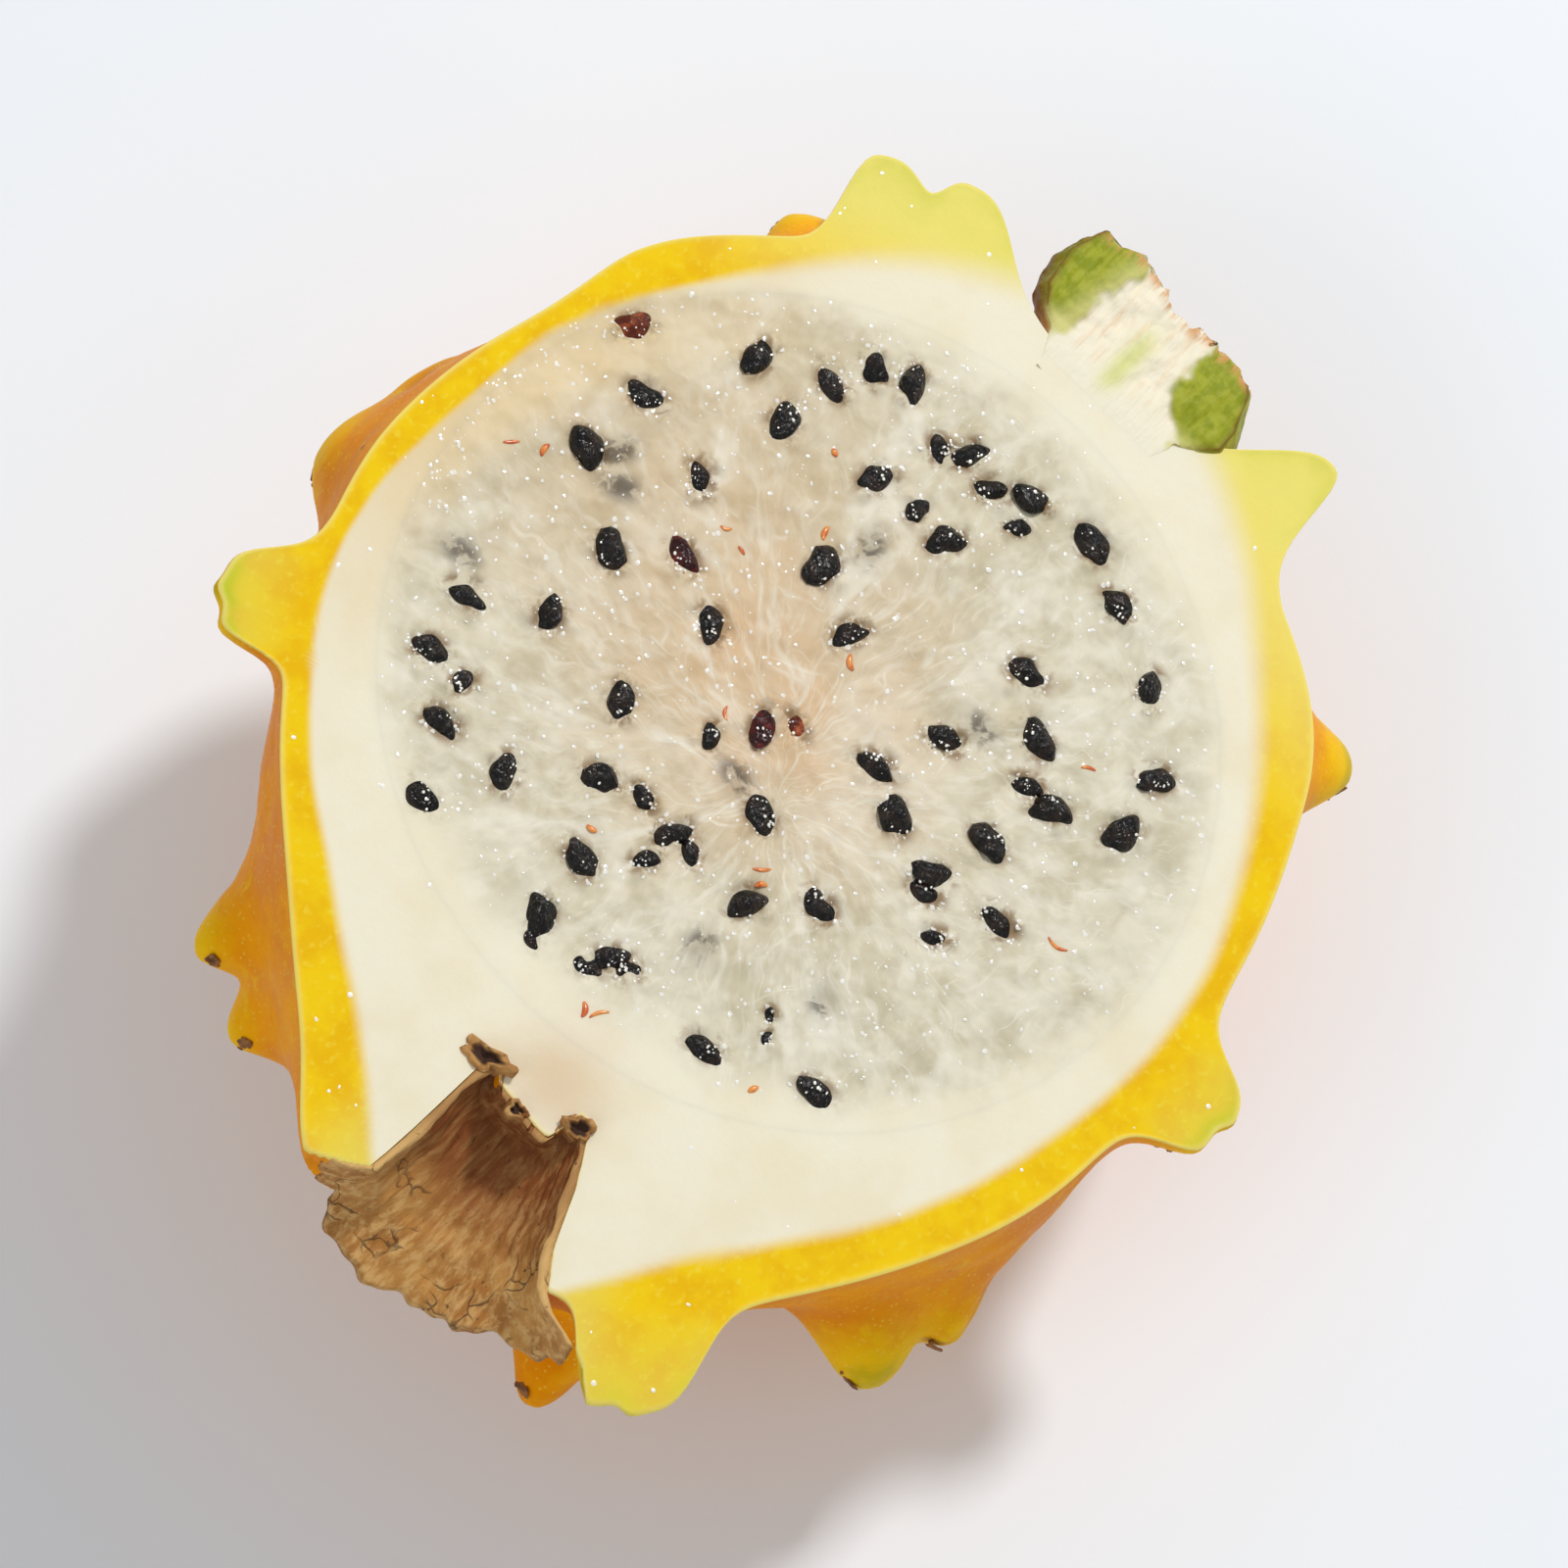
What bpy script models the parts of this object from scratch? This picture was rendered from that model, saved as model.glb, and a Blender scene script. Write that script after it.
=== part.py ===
"""Half of a yellow dragon fruit, cut along its length and lying on its back.

The fruit is modelled in its own axes and then laid down. X runs along the fruit towards the stem, Y runs
across it, and the cut face is the plane Z = 0 with the half below it. A place on the skin is given by two
angles: its bearing in the cut plane, from the stem end towards +Y, and its dip below that plane.
Lengths are in metres and angles in degrees.
"""

import random
from collections import namedtuple
from math import atan2, cos, pi, radians, sin

import bmesh
import bpy
import numpy as np
from mathutils import Matrix, Vector

# The body of the fruit, without its nubs
STEM_LENGTH = 0.0435  # centre to stem end
BLOSSOM_LENGTH = 0.0475  # centre to blossom end
HALF_WIDTH = 0.0376
HALF_DEPTH = 0.0365
STEM_FULLNESS = 2.35  # 2 is an ellipse, more is squarer
BLOSSOM_FULLNESS = 1.88

# The nubs, which are scales that stand out from the skin. Each leans towards the blossom end.
NUB_LEAN = 0.25
NUB_ROUNDNESS = 2.4
NUB_REACH = 4.5  # in widths of the nub, where its foot has run out into the skin
SKIN_DETAIL = 7  # subdivisions of the sphere that the skin starts from
SKIN_KEPT = 0.095  # share of its triangles that the skin keeps

# How thick the peel is round the flesh, on the body without its swellings and nubs
STEM_WALL = 0.0051
BLOSSOM_WALL = 0.0199
LEFT_WALL = 0.0016  # on the +Y side
RIGHT_WALL = 0.0056
UNDER_WALL = 0.0060
FLESH_DETAIL = 4  # subdivisions of the sphere that the flesh starts from

# What meets face to face keeps this gap
CLEARANCE = 0.0003

# The dried flower base, a papery cup with its mouth at the blossom end
CUP_FLOOR_WALL = 0.0048  # pith between the cup and the flesh
CUP_OFFSET = -0.0052  # of the middle of its bottom, across the fruit
CUP_TURN = 9.0  # of its axis, from the fruit's axis
CUP_DEPTH = 0.0150
CUP_FLOOR_RADIUS = 0.0039
CUP_BOTTOM_RADIUS = 0.0056
CUP_WAIST_RADIUS = 0.0082
CUP_MOUTH_RADIUS = 0.0120
CUP_LIP = 0.0004  # how far the lip stands out of the mouth
CUP_PAPER = 0.0013  # thickness
CUP_SIDES = 48

# The stem stub, three-ribbed and wider at its broken end
STUB_SEAT_WALL = 0.0021  # pith between the stub's root and the flesh
STUB_LENGTH = 0.0115
STUB_OFFSET = 0.0022  # of its axis, across the fruit
STUB_ROOT_RADIUS = 0.0070
STUB_TIP_RADIUS = 0.0092
STUB_RIB = 0.20  # height of a rib at the tip, as a share of the radius
STUB_ROOT_RIB = 0.4  # height of a rib at the root, as a share of its height at the tip
STUB_RIB_BEARING = -20.0
STUB_SIDES = 42
STUB_RINGS = 5

# The seeds, flattened drops
SEED_LENGTH = 0.0034
SEED_WIDTH = 0.0023
SEED_THICKNESS = 0.0016
SEED_TAPER = 0.38  # how much narrower the pointed end is than the middle
SEED_PROUD = 0.0005  # how far a seed stands out of the cut
SEED_ROLL = 25.0  # the most that one is rolled about its length
SEED_PITCH = 12.0  # the most that its point is raised or lowered
SEED_TILTS = 2  # picks which way each is rolled and pitched
SEED_DETAIL = 2

# How the half lies: which side of the cut face is lowest, and by how much
LOW_SIDE = -46.0
FACE_TILT = 15.2
FOOT_HEIGHT = 0.0062  # of the shortest of the nubs that it lies on
FOOT_FLAT = 0.00035  # pressed flat on the tip of each

BLOCK = 0.3  # size of the blocks that trim the half

# A rise on the skin: where it is, how high it stands and how wide it is
Bump = namedtuple("Bump", "bearing dip height width")

# Nubs that the cut goes through or beside, round the rim
RIM_NUBS = [
    Bump(117.5, 1.0, 0.0062, 0.0034),
    Bump(56.0, -9.0, 0.0046, 0.0060),
    Bump(36.5, 10.0, 0.0062, 0.0036),
    Bump(31.5, 4.0, 0.0092, 0.0042),
    Bump(21.5, -2.0, 0.0078, 0.0034),
    Bump(-15.2, 3.0, 0.0106, 0.0036),
    Bump(-40.5, 11.0, 0.0080, 0.0040),
    Bump(-82.0, 2.0, 0.0068, 0.0038),
    Bump(-149.5, 3.0, 0.0084, 0.0038),
]

# Nubs on the back
BACK_NUBS = [
    Bump(91.0, 21.0, 0.0074, 0.0046),
    Bump(149.0, 20.5, 0.0056, 0.0034),
    Bump(158.0, 24.0, 0.0046, 0.0034),
    Bump(-154.5, 25.5, 0.0104, 0.0036),
    Bump(-122.5, 22.0, 0.0088, 0.0040),
    Bump(-112.0, 21.0, 0.0080, 0.0032),
    Bump(118.0, 48.0, 0.0065, 0.0046),
    Bump(172.0, 50.0, 0.0060, 0.0044),
    Bump(70.0, 40.0, 0.0066, 0.0046),
    Bump(6.0, 34.0, 0.0072, 0.0046),
    Bump(-24.0, 40.0, 0.0060, 0.0044),
    Bump(-91.0, 38.0, 0.0056, 0.0044),
    Bump(-118.0, 54.0, 0.0055, 0.0044),
]

# Nubs that the half lies on. Their height comes from how the half lies.
FOOT_NUBS = [
    Bump(-150.0, 66.0, None, 0.0046),
    Bump(40.0, 62.0, None, 0.0046),
    Bump(-62.0, 50.0, None, 0.0046),
]

# Broad swellings of the body, and hollows where the height is negative
SWELLINGS = [
    Bump(152.0, -4.0, -0.0036, 0.0150),
    Bump(3.0, 0.0, -0.0015, 0.0090),
    Bump(88.0, 12.0, 0.0024, 0.0160),
]

# Where each seed lies in the cut, as shares of the flesh's half length and half width from its centre,
# and the way its point faces
SEED_SPOTS = [
    (0.56, 0.63, 4), (0.64, 0.47, -110), (0.79, 0.35, 30), (0.49, 0.49, 15), (0.29, 0.75, -80),
    (0.09, 0.76, -115), (0.23, 0.53, -130), (-0.06, 0.56, -115), (0.06, 0.43, -105), (-0.01, 0.28, -125),
    (-0.38, 0.72, -80), (-0.27, 0.56, 15), (-0.54, 0.69, -75), (-0.65, 0.56, -85), (-0.30, 0.31, 35),
    (-0.82, 0.47, -100), (-0.63, 0.38, 30), (0.22, 0.04, -20), (0.29, 0.19, 0), (0.55, 0.24, -25),
    (0.56, 0.03, -30), (0.76, 0.13, -25), (0.79, -0.04, -70), (0.81, -0.21, -105), (0.75, -0.35, -95),
    (0.46, -0.31, -75), (0.35, -0.43, -115), (0.65, -0.53, 35), (0.50, -0.69, -40), (0.34, -0.72, -15),
    (0.20, -0.28, -70), (0.26, -0.56, -55), (0.03, -0.21, -80), (-0.04, -0.32, -115), (-0.10, 0.04, 25),
    (-0.47, 0.21, -70), (-0.27, -0.10, -120), (-0.66, 0.12, -105), (-0.45, 0.01, -25), (-0.44, -0.22, -20),
    (-0.33, -0.34, -105), (-0.07, -0.47, -60), (0.09, -0.51, -90), (-0.04, -0.65, -95), (-0.82, 0.10, 35),
    (-0.78, -0.09, -35), (-0.77, -0.37, -65), (-0.66, -0.62, -85),
]

# Worked out from the sizes above
FLESH_STEM_END = STEM_LENGTH - STEM_WALL
FLESH_BLOSSOM_END = BLOSSOM_WALL - BLOSSOM_LENGTH
FLESH_LEFT = HALF_WIDTH - LEFT_WALL
FLESH_RIGHT = RIGHT_WALL - HALF_WIDTH
FLESH_CENTRE = Vector(((FLESH_STEM_END + FLESH_BLOSSOM_END) / 2, (FLESH_LEFT + FLESH_RIGHT) / 2, 0.0))
FLESH_HALF_LENGTH = (FLESH_STEM_END - FLESH_BLOSSOM_END) / 2
FLESH_HALF_WIDTH = (FLESH_LEFT - FLESH_RIGHT) / 2
FLESH_DEPTH = HALF_DEPTH - UNDER_WALL
CUP_BOTTOM = Vector((FLESH_BLOSSOM_END - CUP_FLOOR_WALL, CUP_OFFSET, 0.0))
STUB_ROOT = FLESH_STEM_END + STUB_SEAT_WALL


# Scene, materials and modifiers


def clear_scene():
    for obj in list(bpy.data.objects):
        bpy.data.objects.remove(obj, do_unlink=True)


def new_collection(name, hidden=False):
    collection = bpy.data.collections.new(name)
    bpy.context.scene.collection.children.link(collection)
    collection.hide_render = hidden
    return collection


def new_material(name, colour, roughness):
    material = bpy.data.materials.new(name)
    material.use_nodes = True
    shader = material.node_tree.nodes["Principled BSDF"]
    shader.inputs["Base Color"].default_value = (*colour, 1.0)
    shader.inputs["Roughness"].default_value = roughness
    shader.inputs["Metallic"].default_value = 0.0
    return material


def add_object(name, bm, collection, material=None):
    """Turns a bmesh into an object of this collection."""
    mesh = bpy.data.meshes.new(name)
    bm.to_mesh(mesh)
    bm.free()
    obj = bpy.data.objects.new(name, mesh)
    collection.objects.link(obj)
    if material:
        mesh.materials.append(material)
    return obj


def make_cutter(obj):
    obj.display_type = "WIRE"
    obj.hide_render = True
    return obj


def add_boolean(obj, cutter, operation):
    modifier = obj.modifiers.new(f"{operation.lower()} {cutter.name}", "BOOLEAN")
    modifier.operation = operation
    modifier.solver = "EXACT"
    modifier.object = cutter
    return modifier


# The skin, as a distance from the fruit's centre in each direction


def smoothstep(t):
    t = np.clip(t, 0.0, 1.0)
    return t * t * (3.0 - 2.0 * t)


def skin_direction(bump):
    """The unit vector from the centre to a bump."""
    bearing, dip = radians(bump.bearing), radians(bump.dip)
    return np.array([cos(dip) * cos(bearing), cos(dip) * sin(bearing), -sin(dip)])


def body_radius(directions):
    """How far the skin is from the centre along unit vectors, before the nubs."""
    along, across, down = directions.T
    girth = np.hypot(across / HALF_WIDTH, down / HALF_DEPTH)
    length = np.where(along > 0, STEM_LENGTH, BLOSSOM_LENGTH)
    fullness = BLOSSOM_FULLNESS + (STEM_FULLNESS - BLOSSOM_FULLNESS) * smoothstep(along + 0.5)
    radius = ((np.abs(along) / length) ** fullness + girth**fullness) ** (-1 / fullness)
    for swelling in SWELLINGS:
        angle = np.arccos(np.clip(directions @ skin_direction(swelling), -1, 1))
        radius = radius + swelling.height * np.exp(-((angle * HALF_WIDTH / swelling.width) ** 2))
    return radius


def reach_of(bump):
    """How far the body's skin is from the centre under a bump."""
    return body_radius(skin_direction(bump)[None])[0]


def nub_height(directions, nub):
    """How far one nub lifts the skin: a blunt tip with hollow flanks, steeper towards the blossom end."""
    axis = skin_direction(nub)
    lean_way = np.array([-1.0, 0.0, 0.0])
    lean_way -= axis * (axis @ lean_way)
    lean_way /= np.linalg.norm(lean_way)
    forward = directions @ lean_way * reach_of(nub)
    sideways = directions @ np.cross(axis, lean_way) * reach_of(nub)
    forward = np.where(forward > 0, forward / (1 - NUB_LEAN), forward / (1 + NUB_LEAN))
    away = np.hypot(forward, sideways) / nub.width
    fade = np.clip(1 - (away / NUB_REACH) ** 2, 0, 1) ** 2
    return np.where(directions @ axis > 0, nub.height / (1 + away**NUB_ROUNDNESS) * fade, 0.0)


def skin_radius(directions, nubs):
    bumps = sum(nub_height(directions, nub) ** 3 for nub in nubs)
    return body_radius(directions) + np.cbrt(bumps)


# How the half lies


def lying_axes():
    """The room's X, Y and Z in the fruit's own axes, for the half as it lies."""
    low, tilt = radians(LOW_SIDE), radians(FACE_TILT)
    up = Vector((-cos(low) * sin(tilt), -sin(low) * sin(tilt), cos(tilt)))
    along = Vector((1, 0, 0)) - up * up.x
    along.normalize()
    return along, up.cross(along), up


def settle_feet(up):
    """Gives each foot nub the height that reaches the floor, and says how high the centre is above it."""
    drops = [-up.dot(Vector(skin_direction(foot))) for foot in FOOT_NUBS]
    reaches = [reach_of(foot) for foot in FOOT_NUBS]
    centre_height = max((reach + FOOT_HEIGHT) * drop for reach, drop in zip(reaches, drops)) - FOOT_FLAT
    feet = [
        foot._replace(height=(centre_height + FOOT_FLAT) / drop - reach)
        for foot, drop, reach in zip(FOOT_NUBS, drops, reaches)
    ]
    return feet, centre_height


def lay_down(objects, centre_height, axes):
    """Parents everything to one empty that holds the half as it lies."""
    pose = bpy.data.objects.new("lying_pose", None)
    bpy.context.scene.collection.objects.link(pose)
    pose.matrix_world = Matrix.Translation((0.0, 0.0, centre_height)) @ Matrix(axes).to_4x4()
    for obj in objects:
        obj.parent = pose
    bpy.context.view_layer.update()
    return pose


def centre_over_origin(pose, objects):
    """Moves the half level until the middle of its bounding box is over the room's origin."""
    depsgraph = bpy.context.evaluated_depsgraph_get()
    corners = []
    for obj in objects:
        evaluated = obj.evaluated_get(depsgraph)
        mesh = evaluated.to_mesh()
        corners += [evaluated.matrix_world @ vertex.co for vertex in mesh.vertices]
        evaluated.to_mesh_clear()
    for axis in (0, 1):
        places = [corner[axis] for corner in corners]
        pose.location[axis] -= (min(places) + max(places)) / 2
    bpy.context.view_layer.update()


# Shapes


def get_coordinates(bm):
    return np.array([vertex.co for vertex in bm.verts])


def set_coordinates(bm, coordinates):
    for vertex, place in zip(bm.verts, coordinates):
        vertex.co = place


def ellipsoid(half_sizes, margin, detail):
    bm = bmesh.new()
    bmesh.ops.create_icosphere(bm, subdivisions=detail, radius=1.0)
    set_coordinates(bm, get_coordinates(bm) * [half + margin for half in half_sizes])
    return bm


def skin_body(nubs):
    """The whole fruit's outside."""
    bm = bmesh.new()
    bmesh.ops.create_icosphere(bm, subdivisions=SKIN_DETAIL, radius=1.0)
    directions = get_coordinates(bm)
    directions /= np.linalg.norm(directions, axis=1)[:, None]
    set_coordinates(bm, directions * skin_radius(directions, nubs)[:, None])
    return bm


def flesh_body(margin):
    bm = ellipsoid((FLESH_HALF_LENGTH, FLESH_HALF_WIDTH, FLESH_DEPTH), margin, FLESH_DETAIL)
    bmesh.ops.translate(bm, verts=bm.verts, vec=FLESH_CENTRE)
    return bm


def block_below():
    """A block with its top in the plane Z = 0."""
    bm = bmesh.new()
    bmesh.ops.create_cube(bm, size=BLOCK)
    bmesh.ops.translate(bm, verts=bm.verts, vec=(0.0, 0.0, -BLOCK / 2))
    return bm


def cup_outline(margin, length):
    """The outside of the cup as (distance out, radius) points, from its floor to the given length."""
    flare = (CUP_MOUTH_RADIUS - CUP_WAIST_RADIUS) / CUP_DEPTH
    points = [
        (-margin, 0.0),
        (-margin, CUP_FLOOR_RADIUS + margin),
        (CUP_BOTTOM_RADIUS - CUP_FLOOR_RADIUS, CUP_BOTTOM_RADIUS + margin),
        (CUP_DEPTH / 3, (CUP_BOTTOM_RADIUS + CUP_WAIST_RADIUS) / 2 + margin),
        (CUP_DEPTH * 2 / 3, CUP_WAIST_RADIUS + margin),
        (CUP_DEPTH, CUP_MOUTH_RADIUS + margin),
    ]
    points.append((length, CUP_MOUTH_RADIUS + margin + (length - CUP_DEPTH) * flare))
    return points


def turned_cup(name, points, collection):
    """Turns a profile that starts and ends on the cup's axis, and lays it where the cup lies."""
    bm = bmesh.new()
    corners = [bm.verts.new((out, radius, 0.0)) for out, radius in reversed(points)]
    for start, end in zip(corners, corners[1:]):
        bm.edges.new((start, end))
    obj = add_object(name, bm, collection)
    turn = obj.modifiers.new("turn", "SCREW")
    turn.axis = "X"
    turn.steps = turn.render_steps = CUP_SIDES
    turn.use_merge_vertices = True
    turn.merge_threshold = 1e-5
    obj.location = CUP_BOTTOM
    obj.rotation_euler = (0.0, 0.0, pi + radians(CUP_TURN))
    return obj


def stub_body(margin):
    """The stem stub before the cut: a ribbed column that flares towards its broken end."""
    length = STUB_LENGTH + margin
    bm = bmesh.new()
    bmesh.ops.create_cone(
        bm,
        cap_ends=True,
        segments=STUB_SIDES,
        radius1=STUB_ROOT_RADIUS,
        radius2=STUB_TIP_RADIUS,
        depth=length,
    )
    walls = [edge for edge in bm.edges if abs(edge.verts[0].co.z - edge.verts[1].co.z) > length / 2]
    bmesh.ops.subdivide_edges(bm, edges=walls, cuts=STUB_RINGS, use_grid_fill=True)
    for vertex in bm.verts:
        x, y, z = vertex.co
        out = z / length + 0.5
        rib_height = STUB_RIB * (STUB_ROOT_RIB + (1 - STUB_ROOT_RIB) * out)
        rib = rib_height * cos(3 * (atan2(y, x) - radians(STUB_RIB_BEARING)))
        grow = 1 + rib + margin / Vector((x, y)).length
        vertex.co = (STUB_ROOT - margin + out * length, STUB_OFFSET + x * grow, y * grow)
    bmesh.ops.recalc_face_normals(bm, faces=bm.faces)
    return bm


def seed_places():
    """Where each seed lies and how it is turned."""
    tilts = random.Random(SEED_TILTS)
    places = []
    for along, across, heading in SEED_SPOTS:
        spot = FLESH_CENTRE + Vector((along * FLESH_HALF_LENGTH, across * FLESH_HALF_WIDTH, 0.0))
        spot.z = SEED_PROUD - SEED_THICKNESS / 2
        turn = Matrix.Rotation(radians(heading), 4, "Z")
        pitch = Matrix.Rotation(radians(tilts.uniform(-SEED_PITCH, SEED_PITCH)), 4, "Y")
        roll = Matrix.Rotation(radians(tilts.uniform(-SEED_ROLL, SEED_ROLL)), 4, "X")
        places.append(Matrix.Translation(spot) @ turn @ pitch @ roll)
    return places


def seed_body(place, margin):
    """One seed, a flattened drop with its point along its own X."""
    bm = ellipsoid((SEED_LENGTH / 2, SEED_WIDTH / 2, SEED_THICKNESS / 2), margin, SEED_DETAIL)
    for vertex in bm.verts:
        taper = 1 - SEED_TAPER * vertex.co.x / (SEED_LENGTH / 2)
        vertex.co.y *= taper
        vertex.co.z *= taper
    bm.transform(place)
    return bm


def joined(parts):
    """Several bmeshes as one."""
    whole = bmesh.new()
    for part in parts:
        mesh = bpy.data.meshes.new("loose")
        part.to_mesh(mesh)
        part.free()
        whole.from_mesh(mesh)
        bpy.data.meshes.remove(mesh)
    return whole


# The pieces of the half


def build_peel(collection, cutters, nubs):
    """The rind with the pith grown onto it, open at the cut, with seats for the flesh, cup and stub."""
    peel = add_object("peel", skin_body(nubs), collection, new_material("peel", (0.86, 0.58, 0.04), 0.45))
    thin = peel.modifiers.new("thin", "DECIMATE")
    thin.ratio = SKIN_KEPT
    add_boolean(peel, cutters["below_cut"], "INTERSECT")
    hidden = cutters["collection"]
    cup_profile = cup_outline(CLEARANCE, 2 * CUP_DEPTH)
    cup_profile.append((cup_profile[-1][0], 0.0))
    seats = [
        add_object("flesh_cavity", flesh_body(CLEARANCE), hidden),
        turned_cup("cup_hollow", cup_profile, hidden),
        add_object("stub_seat", stub_body(CLEARANCE), hidden),
    ]
    for seat in seats:
        add_boolean(peel, make_cutter(seat), "DIFFERENCE")
    add_boolean(peel, cutters["below_floor"], "DIFFERENCE")
    return peel


def build_flesh(collection, cutters, places):
    """The pulp, with a pocket for every seed."""
    flesh = add_object("flesh", flesh_body(0.0), collection, new_material("flesh", (0.80, 0.78, 0.70), 0.25))
    add_boolean(flesh, cutters["below_cut"], "INTERSECT")
    pockets = joined(seed_body(place, CLEARANCE) for place in places)
    cutter = make_cutter(add_object("seed_pockets", pockets, cutters["collection"]))
    add_boolean(flesh, cutter, "DIFFERENCE").use_self = True
    return flesh


def build_seeds(collection, places):
    material = new_material("seed", (0.012, 0.010, 0.010), 0.2)
    return [
        add_object(f"seed_{number:02d}", seed_body(place, 0.0), collection, material)
        for number, place in enumerate(places, 1)
    ]


def build_flower_base(collection, cutters):
    """The papery cup: out along its outside, then back along its inside."""
    outside = cup_outline(0.0, CUP_DEPTH + CUP_LIP)
    inside = [(max(out, CUP_PAPER), max(radius - CUP_PAPER, 0.0)) for out, radius in reversed(outside)]
    cup = turned_cup("dried_flower_base", outside + inside, collection)
    cup.data.materials.append(new_material("dried_flower_base", (0.36, 0.20, 0.08), 0.8))
    add_boolean(cup, cutters["below_cut"], "INTERSECT")
    return cup


def build_stub(collection, cutters):
    """The piece of stem, cut with the fruit."""
    material = new_material("stem_stub", (0.22, 0.32, 0.06), 0.55)
    stub = add_object("stem_stub", stub_body(0.0), collection, material)
    add_boolean(stub, cutters["below_cut"], "INTERSECT")
    return stub


def main():
    clear_scene()
    collection = new_collection("dragon_fruit")
    hidden = new_collection("cutters", hidden=True)
    cutters = {
        "collection": hidden,
        "below_cut": make_cutter(add_object("below_cut", block_below(), hidden)),
        "below_floor": make_cutter(add_object("below_floor", block_below(), hidden)),
    }
    axes = lying_axes()
    feet, centre_height = settle_feet(axes[2])
    places = seed_places()
    pieces = [
        build_peel(collection, cutters, RIM_NUBS + BACK_NUBS + feet),
        build_flesh(collection, cutters, places),
        build_flower_base(collection, cutters),
        build_stub(collection, cutters),
        *build_seeds(collection, places),
    ]
    lying = [obj for obj in hidden.objects if obj is not cutters["below_floor"]]
    pose = lay_down(pieces + lying, centre_height, axes)
    centre_over_origin(pose, pieces)


main()
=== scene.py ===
"""Half of a yellow dragon fruit, lying on its back with the cut face up: the looks that go round the frame.

Every piece is made in the fruit's own axes and then laid down with one turn and one shift. X runs along the
fruit towards the stem, Y runs across it, and the cut is the plane Z = 0 with the half below it. A bearing is
the angle in the cut from +X towards +Y, and a dip is the angle below the cut. Lengths are in metres, angles
in degrees.
"""

import itertools
import logging
from dataclasses import dataclass, field
from enum import Enum

import bpy
import numpy as np
from mathutils import Matrix

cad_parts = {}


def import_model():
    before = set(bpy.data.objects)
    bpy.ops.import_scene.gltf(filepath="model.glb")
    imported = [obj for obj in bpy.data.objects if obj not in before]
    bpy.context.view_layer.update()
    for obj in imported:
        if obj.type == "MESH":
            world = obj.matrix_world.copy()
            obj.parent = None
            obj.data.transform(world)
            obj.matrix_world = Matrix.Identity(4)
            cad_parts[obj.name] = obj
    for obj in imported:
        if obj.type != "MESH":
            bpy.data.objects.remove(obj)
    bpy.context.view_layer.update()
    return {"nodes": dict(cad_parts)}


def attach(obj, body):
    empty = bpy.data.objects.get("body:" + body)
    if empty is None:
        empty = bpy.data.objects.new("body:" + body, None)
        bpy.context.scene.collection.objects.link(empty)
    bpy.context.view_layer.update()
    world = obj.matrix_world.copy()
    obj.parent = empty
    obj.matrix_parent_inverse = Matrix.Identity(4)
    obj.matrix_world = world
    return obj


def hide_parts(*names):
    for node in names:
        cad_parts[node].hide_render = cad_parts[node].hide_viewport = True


MM = 0.001
log = logging.getLogger("dragon_fruit_half")

Array = np.ndarray
Material = bpy.types.Material
Piece = bpy.types.Object
Triple = tuple[float, float, float]
Colour = Triple
Table = tuple[tuple[float, float], ...]
Rows = tuple[tuple[float, float, float, float], ...]


# Numbers and noise


def ease(amount: Array) -> Array:
    """Eases 0 to 1, and holds the ends."""
    amount = np.clip(amount, 0.0, 1.0)
    return amount * amount * (3.0 - 2.0 * amount)


def bell(amount: Array) -> Array:
    """1 at nought, falling away to both sides."""
    return np.exp(-np.square(amount))


def cell_value(cells: Array, seed: int) -> Array:
    """A fixed value from -1 to 1 for each whole-number cell.

    Args:
        cells: whole numbers, with the three axes last.
        seed: picks the pattern.

    Returns:
        One value for each cell.
    """
    whole = cells.astype(np.int64)
    mixed = (whole[..., 0] * 73856093) ^ (whole[..., 1] * 19349663) ^ (whole[..., 2] * 83492791)
    mixed = (mixed ^ (seed * 2654435761)) & 0xFFFFFFFF
    mixed = ((mixed ^ (mixed >> 13)) * 1274126177) & 0xFFFFFFFF
    mixed = ((mixed ^ (mixed >> 16)) * 1911520717) & 0xFFFFFFFF
    return ((mixed ^ (mixed >> 15)) & 0xFFFFFF) / 0x7FFFFF - 1.0


def mottle(points: Array, size: float, seed: int) -> Array:
    """Smooth noise from -1 to 1 with patches of the given size.

    Args:
        points: places, in metres, with the three axes last.
        size: how wide a patch is, in metres.
        seed: picks the pattern.

    Returns:
        One value for each place.
    """
    scaled = points / size + 0.37 * seed
    base = np.floor(scaled)
    part = scaled - base
    part = part * part * (3.0 - 2.0 * part)
    total = np.zeros(points.shape[:-1])
    for corner in itertools.product((0, 1), repeat=3):
        weight = np.prod(np.where(np.array(corner) == 1, part, 1.0 - part), axis=-1)
        total += weight * cell_value(base + corner, seed)
    return total


def layered(points: Array, size: float, seed: int, layers: int = 3) -> Array:
    """Noise for places in metres, in which each layer is half as wide and half as strong as the last."""
    return sum(0.5**layer * mottle(points, size * 0.5**layer, seed + 17 * layer) for layer in range(layers))


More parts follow.
